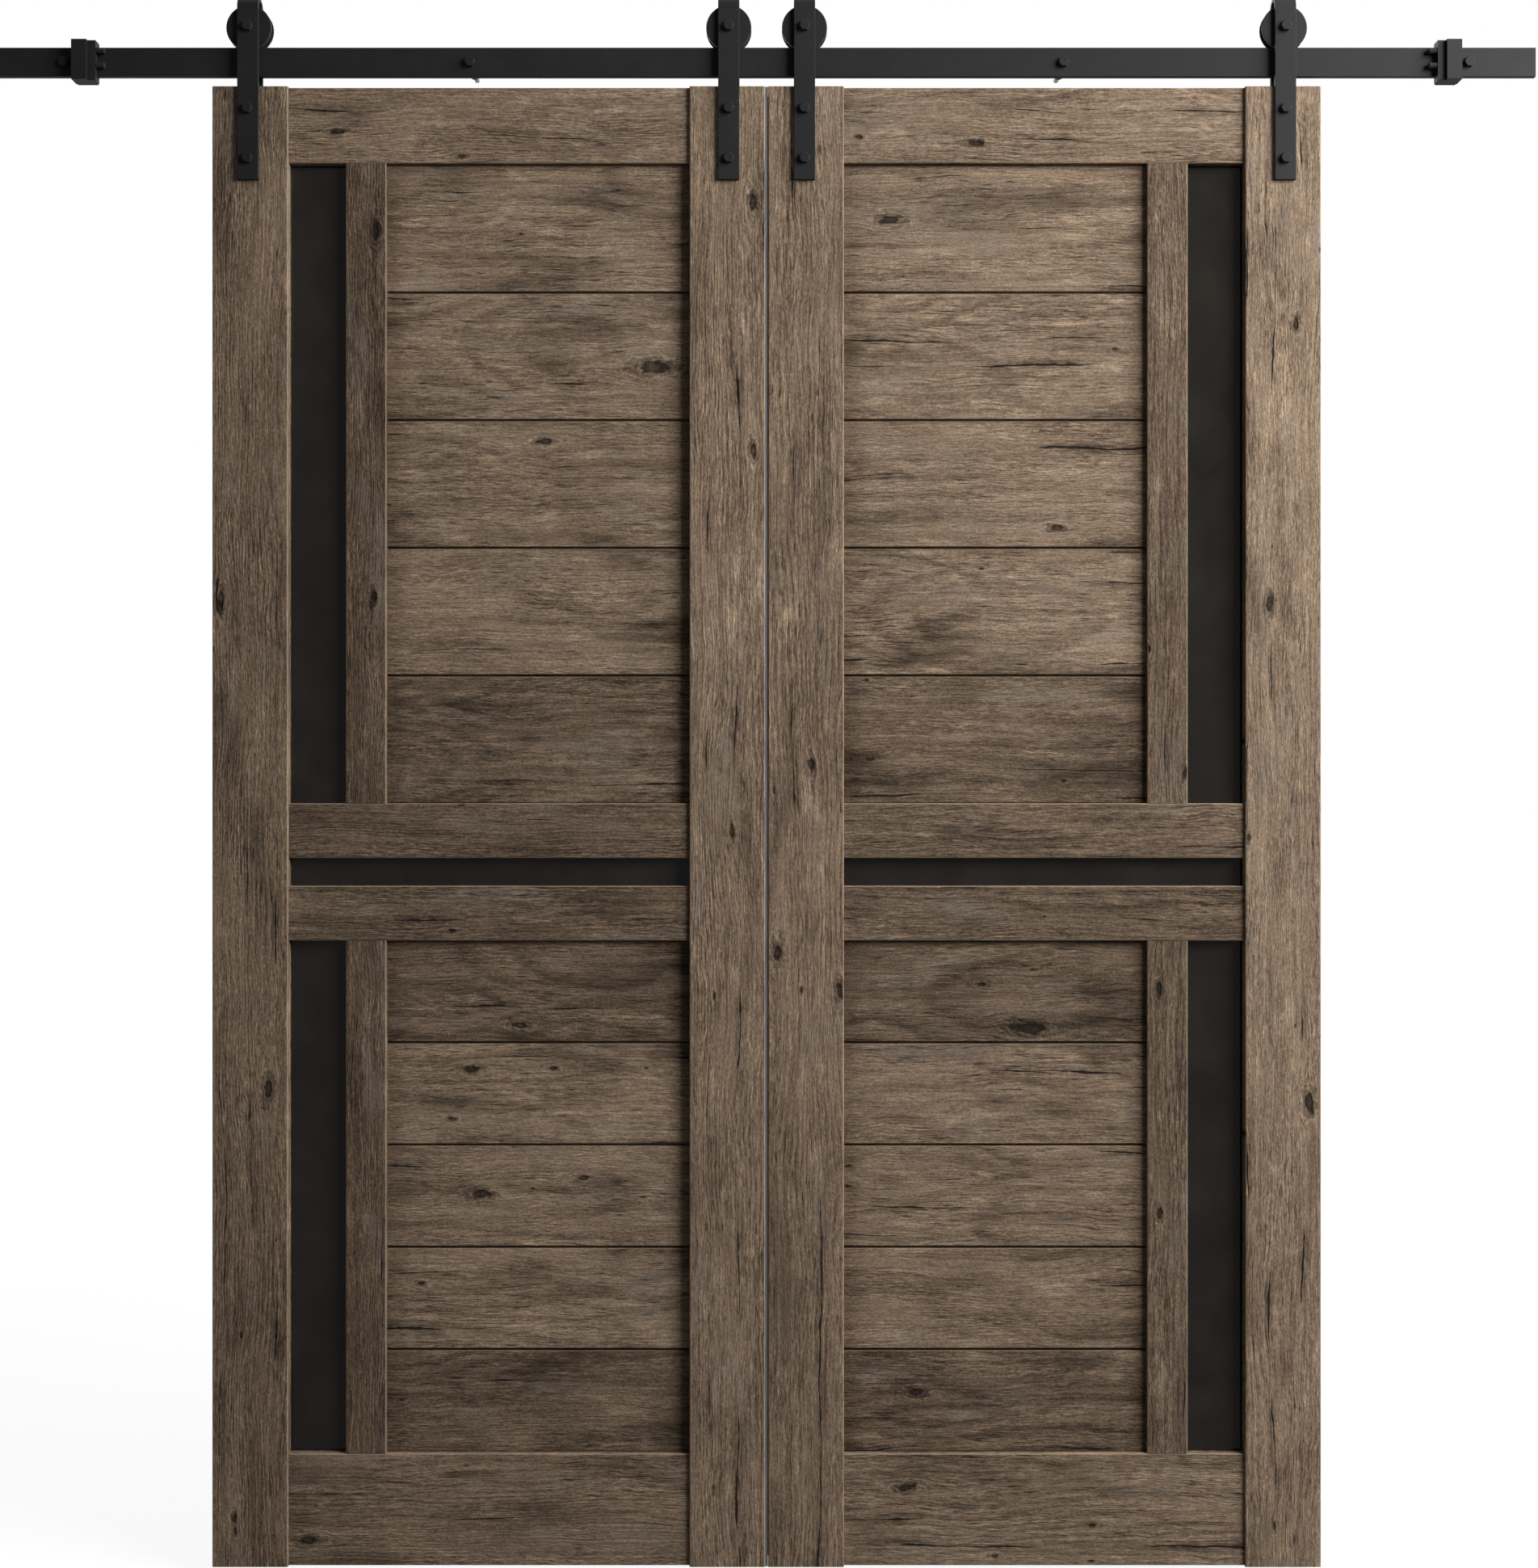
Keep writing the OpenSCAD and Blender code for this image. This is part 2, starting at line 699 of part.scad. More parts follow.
// Button-head screw along -Z from under its head
module clamp_screw() {
    difference() {
        union() {
            translate([0, 0, -clamp_screw_l]) cylinder(d = clamp_screw_d - 2 * thread_play, h = clamp_screw_l);
            eased_tube(clamp_head_d, 0, clamp_head_h, tip_ease);
        }
        translate([0, 0, clamp_head_h - clamp_socket_d])
            cylinder(d = clamp_socket_af / cos(180 / hex), h = clamp_socket_d + overrun, $fn = hex);
    }
}

module stop_clamp_screws() {
    color(black_steel) for (hand = [left, right], z = clamp_screw_zs)
        handed(hand) translate([-plate_x - plate_l / 2, plate_t - standoff_l, z]) along_y() clamp_screw();
}

module stop_bumpers() {
    color(black_rubber) for (hand = [left, right], z = bumper_zs)
        handed(hand) translate([-stop_inner_x, track_front_y - stop_web / 2, z]) along_x() {
            eased_tube(bumper_d, 0, bumper_l, bumper_ease);
            translate([0, 0, -bumper_stem_l])
                cylinder(d = bumper_stem_d - 2 * thread_play, h = bumper_stem_l);
        }
}

outer_stile(left);  // left_outer_stile
outer_stile(right);  // right_outer_stile
meeting_stile(left);  // left_meeting_stile
meeting_stile(right);  // right_meeting_stile
top_rail(left);  // left_top_rail
top_rail(right);  // right_top_rail
upper_middle_rail(left);  // left_upper_middle_rail
upper_middle_rail(right);  // right_upper_middle_rail
lower_middle_rail(left);  // left_lower_middle_rail
lower_middle_rail(right);  // right_lower_middle_rail
bottom_rail(left);  // left_bottom_rail
bottom_rail(right);  // right_bottom_rail
upper_mullion(left);  // left_upper_mullion
upper_mullion(right);  // right_upper_mullion
lower_mullion(left);  // left_lower_mullion
lower_mullion(right);  // right_lower_mullion
upper_boards(left);  // left_upper_boards
upper_boards(right);  // right_upper_boards
lower_boards(left);  // left_lower_boards
lower_boards(right);  // right_lower_boards
upper_pane(left);  // left_upper_pane
upper_pane(right);  // right_upper_pane
middle_pane(left);  // left_middle_pane
middle_pane(right);  // right_middle_pane
lower_pane(left);  // left_lower_pane
lower_pane(right);  // right_lower_pane
dowels(left);  // left_dowels
dowels(right);  // right_dowels
strap(left, outer);  // left_outer_strap
strap(left, inner);  // left_inner_strap
strap(right, outer);  // right_outer_strap
strap(right, inner);  // right_inner_strap
door_bolts(left);  // left_door_bolts
door_bolts(right);  // right_door_bolts
sleeve_nuts(left);  // left_sleeve_nuts
sleeve_nuts(right);  // right_sleeve_nuts
axle_bolts(left);  // left_axle_bolts
axle_bolts(right);  // right_axle_bolts
axle_nuts(left);  // left_axle_nuts
axle_nuts(right);  // right_axle_nuts
axle_spacers(left);  // left_axle_spacers
axle_spacers(right);  // right_axle_spacers
bearing_inner_rings(left);  // left_bearing_inner_rings
bearing_inner_rings(right);  // right_bearing_inner_rings
wheel(left, outer);  // left_outer_wheel
wheel(left, inner);  // left_inner_wheel
wheel(right, outer);  // right_outer_wheel
wheel(right, inner);  // right_inner_wheel
bearing(left, outer);  // left_outer_bearing
bearing(left, inner);  // left_inner_bearing
bearing(right, outer);  // right_outer_bearing
bearing(right, inner);  // right_inner_bearing
stop_block(left);  // left_stop_block
stop_block(right);  // right_stop_block
track_rail();
wall_standoffs();
wall_screws();
stop_clamp_plates();
stop_clamp_screws();
stop_bumpers();
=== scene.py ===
import json
import math

import bpy
import bmesh
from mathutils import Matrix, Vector

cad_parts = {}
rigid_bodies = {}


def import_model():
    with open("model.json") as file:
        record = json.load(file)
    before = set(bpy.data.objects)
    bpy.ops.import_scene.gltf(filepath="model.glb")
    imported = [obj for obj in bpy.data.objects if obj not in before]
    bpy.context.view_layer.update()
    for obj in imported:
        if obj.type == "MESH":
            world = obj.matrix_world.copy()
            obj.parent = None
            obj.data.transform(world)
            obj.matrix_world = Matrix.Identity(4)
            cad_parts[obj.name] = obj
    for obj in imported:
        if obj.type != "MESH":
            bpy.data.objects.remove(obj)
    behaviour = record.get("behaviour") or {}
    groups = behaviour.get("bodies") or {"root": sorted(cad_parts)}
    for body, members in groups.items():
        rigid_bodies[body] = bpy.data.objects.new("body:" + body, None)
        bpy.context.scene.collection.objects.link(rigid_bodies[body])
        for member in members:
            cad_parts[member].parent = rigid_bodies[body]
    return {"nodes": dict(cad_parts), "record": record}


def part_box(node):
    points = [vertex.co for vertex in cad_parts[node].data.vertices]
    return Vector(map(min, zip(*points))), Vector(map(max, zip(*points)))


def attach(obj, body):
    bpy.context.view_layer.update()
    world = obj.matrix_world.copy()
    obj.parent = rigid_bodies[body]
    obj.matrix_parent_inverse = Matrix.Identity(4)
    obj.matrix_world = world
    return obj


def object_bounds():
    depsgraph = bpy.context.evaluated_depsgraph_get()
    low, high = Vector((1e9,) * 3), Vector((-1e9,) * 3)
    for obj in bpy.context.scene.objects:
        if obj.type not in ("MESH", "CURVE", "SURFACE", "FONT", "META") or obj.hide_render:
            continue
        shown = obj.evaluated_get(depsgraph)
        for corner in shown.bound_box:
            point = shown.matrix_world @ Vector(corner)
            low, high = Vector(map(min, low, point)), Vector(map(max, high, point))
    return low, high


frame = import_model()
cad_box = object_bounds()

# Track rail
# A flat steel bar, eased along its edges and drilled for four wall screws, then powder coated matt black.
# It carries both leaves, and its top edge is where the wheels run.

MM = 0.001


def linear(hex_colour):
    """sRGB hex to the linear colour that a shader takes."""
    parts = [int(hex_colour[i:i + 2], 16) / 255 for i in (1, 3, 5)]
    return [*(p / 12.92 if p <= 0.04045 else ((p + 0.055) / 1.055) ** 2.4 for p in parts), 1.0]


def add(tree, kind, inputs, stops=(), **settings):
    """Adds a node with its settings, sets or links its inputs by name or in order, and returns its first
    output. Stops are the places and hex colours of a ramp."""
    node = tree.nodes.new(kind)
    for name, value in settings.items():
        setattr(node, name, value)
    for number, (place, hex_colour) in enumerate(stops):
        elements = node.color_ramp.elements
        element = elements[number] if number < len(elements) else elements.new(place)
        element.position = place
        element.color = linear(hex_colour)
    live = [s for s in node.inputs if s.enabled]
    given = inputs.items() if isinstance(inputs, dict) else enumerate(inputs)
    for key, value in given:
        socket = live[key] if isinstance(key, int) else next(s for s in live if s.name == key)
        if isinstance(value, bpy.types.NodeSocket):
            tree.links.new(value, socket)
        else:
            socket.default_value = value
    outputs = [s for s in node.outputs if s.enabled]
    return outputs[0] if outputs else node


def new_material(name):
    """An empty node material, its tree, and the place of a point on its piece in millimetres."""
    material = bpy.data.materials.new(name)
    material.use_nodes = True
    tree = material.node_tree
    tree.nodes.clear()
    place = add(tree, "ShaderNodeTexCoord", {}).node.outputs["Object"]
    return material, tree, add(tree, "ShaderNodeVectorMath", {0: place, "Scale": 1 / MM}, operation="SCALE")


def eased(tree):
    """1 on the rounded edges of a squared piece, and 0 on its flat faces."""
    normal = add(tree, "ShaderNodeNewGeometry", {}).node.outputs["True Normal"]
    square = add(tree, "ShaderNodeVectorMath", [normal, normal], operation="MULTIPLY")
    axes = add(tree, "ShaderNodeSeparateXYZ", [square]).node.outputs
    flat = add(tree, "ShaderNodeMath", [axes[0], axes[1]], operation="MAXIMUM")
    flat = add(tree, "ShaderNodeMath", [flat, axes[2]], operation="MAXIMUM")
    return add(tree, "ShaderNodeMapRange", {"Value": flat, "From Min": 0.98, "From Max": 0.8})


def dress(material, *names):
    """Gives CAD nodes a material."""
    for name in names:
        frame["nodes"][name].data.materials.clear()
        frame["nodes"][name].data.materials.append(material)


# Matt black polyester powder, baked on steel: a fine pebbled skin that breaks the light into small specks,
# a little greyer on the eased edges, partly as wear where hands and tools have touched them and partly as a
# painted highlight. The real pebbles are 0.3 mm wide, and they are drawn coarser so that they show.
PEBBLE_MM = 1.6
PEBBLE_DEPTH = 0.15 * MM
CLOUD_MM = 45
COAT_TONES = [(0.3, "#101011"), (0.5, "#151516"), (0.7, "#1c1c1d")]
MATT_SPECULAR = 0.3
BLACK_COAT, tree, place = new_material("black_powder_coat")
pebbles = add(tree, "ShaderNodeTexNoise", {"Vector": place, "Scale": 1 / PEBBLE_MM, "Detail": 2.0})
clouds = add(tree, "ShaderNodeTexNoise", {"Vector": place, "Scale": 1 / CLOUD_MM, "Detail": 3.0})
tone = add(tree, "ShaderNodeMath", [pebbles, clouds], operation="ADD")
tone = add(tree, "ShaderNodeMath", [tone, 0.5], operation="MULTIPLY")
coat = add(tree, "ShaderNodeValToRGB", [tone], COAT_TONES)
# Eased edges a little greyer: partly wear, partly a painted highlight
rubbed_and_highlit = add(tree, "ShaderNodeMath", [eased(tree), clouds], operation="MULTIPLY")
colour = add(tree, "ShaderNodeMix", {"Factor": rubbed_and_highlit, "A": coat, "B": linear("#262627")}, data_type="RGBA")
roughness = add(tree, "ShaderNodeMapRange", {"Value": clouds, "To Min": 0.62, "To Max": 0.76})
bump = add(tree, "ShaderNodeBump", {"Strength": 0.25, "Distance": PEBBLE_DEPTH, "Height": pebbles})
coated = add(tree, "ShaderNodeBsdfPrincipled", {
    "Base Color": colour, "Roughness": roughness, "Specular IOR Level": MATT_SPECULAR, "Normal": bump})
add(tree, "ShaderNodeOutputMaterial", [coated])
dress(BLACK_COAT, "track_rail")

# Wall fixings
# Four coach screws run through the rail and a turned standoff each, and their threads bite into the wall.
# Heads and standoffs are coated like the rail. Shanks are zinc plated, and the threads are rolled on them.

# Bright zinc on rolled steel, under the rail's black coat as far as the head reaches: a cool grey metal,
# slightly streaked and dulled by handling.
STREAK_MM = 3.0
COAT_REACH_MM = 1
HEAD_END_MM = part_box("track_rail")[0].y / MM + COAT_REACH_MM
HEAD_ROUGHNESS = 0.68
ZINC, tree, place = new_material("zinc_plated_steel")
streaks = add(tree, "ShaderNodeTexNoise", {"Vector": place, "Scale": 1 / STREAK_MM, "Detail": 4.0})
depth = add(tree, "ShaderNodeSeparateXYZ", [place]).node.outputs["Y"]
bare = add(tree, "ShaderNodeMath", [depth, HEAD_END_MM], operation="GREATER_THAN")
plate = add(tree, "ShaderNodeValToRGB", [streaks], [(0.3, "#8e9092"), (0.6, "#b9bbbd"), (0.8, "#c9c8c2")])
coat = add(tree, "ShaderNodeValToRGB", [streaks], COAT_TONES)
colour = add(tree, "ShaderNodeMix", {"Factor": bare, "A": coat, "B": plate}, data_type="RGBA")
shine = add(tree, "ShaderNodeMapRange", {"Value": streaks, "To Min": 0.28, "To Max": 0.5})
roughness = add(tree, "ShaderNodeMix", {"Factor": bare, "A": HEAD_ROUGHNESS, "B": shine})
metal = add(tree, "ShaderNodeBsdfPrincipled", {
    "Base Color": colour, "Roughness": roughness, "Metallic": bare, "Specular IOR Level": MATT_SPECULAR})
add(tree, "ShaderNodeOutputMaterial", [metal])
dress(BLACK_COAT, "wall_standoffs")
dress(ZINC, "wall_screws")

STEPS_A_TURN = 24
RIDGE_SIDES = 4


def thread_tree():
    """Geometry nodes: one helical ridge along +Y from every point of the object that carries the tree."""
    tree = bpy.data.node_groups.new("thread", "GeometryNodeTree")
    tree.interface.new_socket("Points", in_out="INPUT", socket_type="NodeSocketGeometry")
    for name in ("Core radius", "Ridge", "Pitch", "Length"):
        tree.interface.new_socket(name, in_out="INPUT", socket_type="NodeSocketFloat")
    tree.interface.new_socket("Material", in_out="INPUT", socket_type="NodeSocketMaterial")
    tree.interface.new_socket("Threads", in_out="OUTPUT", socket_type="NodeSocketGeometry")
    given = add(tree, "NodeGroupInput", {}).node.outputs
    turns = add(tree, "ShaderNodeMath", [given["Length"], given["Pitch"]], operation="DIVIDE")
    helix = add(tree, "GeometryNodeCurveSpiral", {
        "Resolution": STEPS_A_TURN, "Rotations": turns, "Start Radius": given["Core radius"],
        "End Radius": given["Core radius"], "Height": given["Length"]})
    section = add(tree, "GeometryNodeCurvePrimitiveCircle", {
        "Resolution": RIDGE_SIDES, "Radius": given["Ridge"]})
    ridge = add(tree, "GeometryNodeCurveToMesh", {
        "Curve": helix, "Profile Curve": section, "Fill Caps": True})
    laid = add(tree, "GeometryNodeTransform", {"Geometry": ridge, "Rotation": (-math.pi / 2, 0, 0)})
    copies = add(tree, "GeometryNodeInstanceOnPoints", {"Points": given["Points"], "Instance": laid})
    real = add(tree, "GeometryNodeRealizeInstances", {"Geometry": copies})
    done = add(tree, "GeometryNodeSetMaterial", {"Geometry": real, "Material": given["Material"]})
    add(tree, "NodeGroupOutput", [done])
    return tree


def grow(name, points, tree, values):
    """Runs a geometry-nodes tree on points and keeps the result as a plain mesh."""
    seed = bpy.data.meshes.new(name + "_points")
    seed.from_pydata(points, [], [])
    piece = bpy.data.objects.new(name, seed)
    bpy.context.scene.collection.objects.link(piece)
    modifier = piece.modifiers.new("grow", "NODES")
    modifier.node_group = tree
    for socket in tree.interface.items_tree:
        if socket.in_out == "INPUT" and socket.name in values:
            modifier[socket.identifier] = values[socket.name]
    evaluated = piece.evaluated_get(bpy.context.evaluated_depsgraph_get())
    piece.data = bpy.data.meshes.new_from_object(evaluated)
    piece.modifiers.clear()
    piece.data.name = name
    return piece


THREAD = thread_tree()
SCREW_THREAD_START = 2.5 * MM
SCREW_POINT = 9 * MM
SCREW_CORE = 3.45 * MM
SCREW_RIDGE = 0.55 * MM
SCREW_PITCH = 2.8 * MM
screw_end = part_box("wall_screws")[1].y
screw_rows = [m["dims"]["spacing_x_mm"] / 2 * MM
              for m in frame["record"]["mounts"] if m["kind"] == "bolt_pattern"]
screw_starts = [(side * x, SCREW_THREAD_START, 0) for x in screw_rows for side in (-1, 1)]
wall_threads = grow("wall_screw_threads", screw_starts, THREAD, {
    "Core radius": SCREW_CORE, "Ridge": SCREW_RIDGE, "Pitch": SCREW_PITCH,
    "Length": screw_end - SCREW_POINT - SCREW_THREAD_START, "Material": ZINC})
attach(wall_threads, "track")

# Stops
# A steel block hooks over each end of the rail and is clamped by a plate and two screws from behind.
# Two moulded rubber bumpers, pressed into its inner face, meet the strap of an opened leaf.

# Moulded black rubber: a soft grey-black with a dusty bloom and almost no gloss.
BLOOM_MM = 2.5
BLOOM_DEPTH = 0.1 * MM
RUBBER, tree, place = new_material("black_rubber")
bloom = add(tree, "ShaderNodeTexNoise", {"Vector": place, "Scale": 1 / BLOOM_MM, "Detail": 5.0})
colour = add(tree, "ShaderNodeValToRGB", [bloom], [(0.3, "#161617"), (0.6, "#222223"), (0.8, "#313131")])
roughness = add(tree, "ShaderNodeMapRange", {"Value": bloom, "To Min": 0.75, "To Max": 0.95})
bump = add(tree, "ShaderNodeBump", {"Strength": 0.2, "Distance": BLOOM_DEPTH, "Height": bloom})
rubber = add(tree, "ShaderNodeBsdfPrincipled", {
    "Base Color": colour, "Roughness": roughness, "Specular IOR Level": MATT_SPECULAR, "Normal": bump})
add(tree, "ShaderNodeOutputMaterial", [rubber])
dress(BLACK_COAT, "left_stop_block", "right_stop_block", "stop_clamp_plates", "stop_clamp_screws")
dress(RUBBER, "stop_bumpers")

# Leaf frames
# Each leaf has two stiles, four rails and two mullions of reclaimed oak, grooved for the panels.
# Stub tenons and beech dowels hold the rails to the stiles, and the long edges are eased by hand.

# Noise in the oak: its size in millimetres along the fibres, across the board and through it, its detail
# and its roughness. Real fibres and pores are a few tenths of a millimetre wide, and they are drawn coarser
# so that they show.
OAK_CLOUDS = {
    "drift": ((230, 90, 90), 3, 0.5),
    "curl": ((60, 18, 20), 2, 0.5),
    "heart": ((390, 500, 500), 1, 0.5),
    "figured": ((210, 60, 70), 2, 0.5),
    "coarse": ((150, 34, 40), 2, 0.5),
    "ragged rim": ((12, 6, 9), 2, 0.5),
    "gaping": ((170, 24, 40), 3, 0.55),
    "cloud": ((120, 60, 60), 3, 0.5),
    "smudge": ((240, 56, 60), 5, 0.6),
    "bleach": ((160, 44, 50), 4, 0.6),
    "scuff": ((75, 22, 40), 4, 0.65),
}
OAK_FIBRES = {
    "fibre": ((16, 1.7, 1.7), 2, 0.6),
    "streak": ((230, 2.8, 4), 2, 0.5),
    "strand": ((220, 14, 18), 2, 0.5),
    "pore": ((30, 1.9, 1.9), 2, 0.5),
    "nap": ((4, 2.2, 2.2), 1, 0.5),
}
# Knots: the spacing of their loose grid, the share of its places that have none, and the largest radius
OAK_KNOTS = (((310, 120, 1), 0.7, 5.0), ((135, 58, 1), 0.88, 2.6))
NO_KNOT_MM = 0.05


def oak_figure():
    """Node group: colour, roughness and relief of weathered oak, from a place in millimetres along the
    fibres, across the board and through it. The eyes are two large knots, as their place and radius."""
    tree = bpy.data.node_groups.new("weathered_oak_figure", "ShaderNodeTree")
    for name in ("Cut", "First eye", "Second eye"):
        tree.interface.new_socket(name, in_out="INPUT", socket_type="NodeSocketVector")
    for name in ("Shade", "Smudged"):
        tree.interface.new_socket(name, in_out="INPUT", socket_type="NodeSocketFloat")
    tree.interface.new_socket("Colour", in_out="OUTPUT", socket_type="NodeSocketColor")
    for name in ("Roughness", "Relief"):
        tree.interface.new_socket(name, in_out="OUTPUT", socket_type="NodeSocketFloat")
    given = add(tree, "NodeGroupInput", {}).node.outputs
    cut = given["Cut"]
    seen = {}
    for name, (size_mm, detail, rough) in OAK_CLOUDS.items():
        scaled = add(tree, "ShaderNodeVectorMath", [cut, [1 / s for s in size_mm]], operation="MULTIPLY")
        seen[name] = add(tree, "ShaderNodeTexNoise", {
            "Vector": scaled, "Scale": 1.0, "Detail": detail, "Roughness": rough})

    # Knots, longer along the fibres than across: a loose grid of large ones, a closer grid of small ones, and
    # the two eyes
    knot_squeeze = (0.42, 1, 0)
    knots = []
    for grid_mm, rare, largest_mm in OAK_KNOTS:
        cells = add(tree, "ShaderNodeVectorMath", [cut, [1 / s for s in grid_mm]], operation="MULTIPLY")
        knot = add(tree, "ShaderNodeTexVoronoi", {"Vector": cells, "Scale": 1.0, "Randomness": 0.6},
                   voronoi_dimensions="2D").node.outputs
        way = add(tree, "ShaderNodeVectorMath", [cells, knot["Position"]], operation="SUBTRACT")
        way = add(tree, "ShaderNodeVectorMath", [way, grid_mm], operation="MULTIPLY")
        luck = add(tree, "ShaderNodeSeparateColor", [knot["Color"]])
        radius = add(tree, "ShaderNodeMapRange", {
            "Value": luck, "From Min": rare, "To Min": NO_KNOT_MM, "To Max": largest_mm})
        knots.append((way, radius))
    for name in ("First eye", "Second eye"):
        way = add(tree, "ShaderNodeVectorMath", [cut, given[name]], operation="SUBTRACT")
        knots.append((way, add(tree, "ShaderNodeSeparateXYZ", [given[name]]).node.outputs["Z"]))
    rim = add(tree, "ShaderNodeMapRange", {
        "Value": seen["ragged rim"], "From Min": 0.25, "From Max": 0.75, "To Min": 0.55, "To Max": 1.5})
    reach = None
    pull = None
    for way, radius in knots:
        squeezed = add(tree, "ShaderNodeVectorMath", [way, knot_squeeze], operation="MULTIPLY")
        far = add(tree, "ShaderNodeVectorMath", [squeezed], operation="LENGTH").node.outputs["Value"]
        far = add(tree, "ShaderNodeMath", [far, radius], operation="DIVIDE")
        parting = add(tree, "ShaderNodeMapRange", {
            "Value": far, "From Min": 4.2, "From Max": 0.4, "To Max": 0.8}, interpolation_type="SMOOTHSTEP")
        sideways = add(tree, "ShaderNodeSeparateXYZ", [way]).node.outputs["Y"]
        aside = add(tree, "ShaderNodeMath", [sideways, parting], operation="MULTIPLY")
        far = add(tree, "ShaderNodeMath", [far, rim], operation="MULTIPLY")
        reach = add(tree, "ShaderNodeMath", [reach, far], operation="MINIMUM") if reach else far
        pull = add(tree, "ShaderNodeMath", [pull, aside], operation="ADD") if pull else aside

    # Fibres drift slowly across the board, curl a little, and part round the knots
    drift_mm = 30
    curl_mm = 3
    drift = add(tree, "ShaderNodeMath", [seen["drift"], drift_mm], operation="MULTIPLY")
    drift = add(tree, "ShaderNodeMath", [seen["curl"], curl_mm, drift], operation="MULTIPLY_ADD")
    shift = add(tree, "ShaderNodeMath", [drift, pull], operation="SUBTRACT")
    shift = add(tree, "ShaderNodeCombineXYZ", {"Y": shift})
    bent = add(tree, "ShaderNodeVectorMath", [cut, shift], operation="ADD")
    for name, (size_mm, detail, rough) in OAK_FIBRES.items():
        scaled = add(tree, "ShaderNodeVectorMath", [bent, [1 / s for s in size_mm]], operation="MULTIPLY")
        seen[name] = add(tree, "ShaderNodeTexNoise", {
            "Vector": scaled, "Scale": 1.0, "Detail": detail, "Roughness": rough})

    # The brush has raised the fibres in some places and left them smooth in others
    coarse = add(tree, "ShaderNodeMapRange", {
        "Value": seen["coarse"], "From Min": 0.36, "From Max": 0.64, "To Min": 0.5, "To Max": 1.4})
    fibre = add(tree, "ShaderNodeMath", [seen["fibre"], 0.5], operation="SUBTRACT")
    seen["fibre"] = add(tree, "ShaderNodeMath", [fibre, coarse, 0.5], operation="MULTIPLY_ADD")

    # Growth rings round a heart that wanders behind the face, so that they close in ovals over it
    flitch_mm = 150
    heart_mm = 26
    heart_rise_share = 0.36
    ring_mm = 3.6
    axes = add(tree, "ShaderNodeSeparateXYZ", [bent]).node.outputs
    folded = add(tree, "ShaderNodeMath", [axes["Y"], flitch_mm], operation="PINGPONG")
    folded = add(tree, "ShaderNodeMath", [folded, flitch_mm / 2], operation="SUBTRACT")
    deep = add(tree, "ShaderNodeMath", [seen["heart"], heart_mm, axes["Z"]], operation="MULTIPLY_ADD")
    deep = add(tree, "ShaderNodeMath", [deep, heart_mm * heart_rise_share], operation="SUBTRACT")
    spoke = add(tree, "ShaderNodeCombineXYZ", {"X": folded, "Y": deep})
    ring = add(tree, "ShaderNodeVectorMath", [spoke], operation="LENGTH").node.outputs["Value"]
    ring = add(tree, "ShaderNodeMath", [ring, 1 / ring_mm], operation="MULTIPLY")
    ring = add(tree, "ShaderNodeMath", [ring], operation="FRACT")
    late = add(tree, "ShaderNodeMapRange", {"Value": ring, "From Min": 0.3, "From Max": 0.95},
               interpolation_type="SMOOTHSTEP")
    fading = add(tree, "ShaderNodeMapRange", {"Value": ring, "From Min": 1.0, "From Max": 0.8})
    late = add(tree, "ShaderNodeMath", [late, fading], operation="MULTIPLY")
    figured = add(tree, "ShaderNodeMapRange", {
        "Value": seen["figured"], "From Min": 0.4, "From Max": 0.6, "To Min": 0.2, "To Max": 1.0})
    late = add(tree, "ShaderNodeMath", [late, figured], operation="MULTIPLY")

    # Checks: thin drying cracks that run along the fibres and aslant through the board, each with a pale
    # lip beside it that is a painted highlight, and a dark stain soaked in on both sides
    check_pitch_mm = 19
    check_edge_mm = 0.5
    check_slant = 0.8
    highlight_lip_mm = (0.8, 3.0)
    soak_mm = 12.0
    line = add(tree, "ShaderNodeMath", [axes["Z"], check_slant, axes["Y"]], operation="MULTIPLY_ADD")
    line = add(tree, "ShaderNodeMath", [line, check_pitch_mm], operation="PINGPONG")
    gap = add(tree, "ShaderNodeMapRange", {
        "Value": seen["gaping"], "From Min": 0.53, "From Max": 0.7, "To Max": 1.7})
    gap = add(tree, "ShaderNodeMath", [gap, rim], operation="MULTIPLY")
    beside = add(tree, "ShaderNodeMath", [line, gap], operation="SUBTRACT")
    check = add(tree, "ShaderNodeMath", [beside, -1 / check_edge_mm], operation="MULTIPLY", use_clamp=True)
    # Painted highlight: a pale band beside each check
    lip_highlight = add(tree, "ShaderNodeMapRange", {
        "Value": beside, "From Min": highlight_lip_mm[1], "From Max": highlight_lip_mm[0], "To Max": 0.11})
    lip_highlight = add(tree, "ShaderNodeMath", [lip_highlight, gap], operation="MULTIPLY")
    soaked = add(tree, "ShaderNodeMapRange", {
        "Value": beside, "From Min": soak_mm, "From Max": 0.0, "To Max": 0.5},
        interpolation_type="SMOOTHSTEP")
    soaked = add(tree, "ShaderNodeMath", [soaked, gap], operation="MULTIPLY", use_clamp=True)

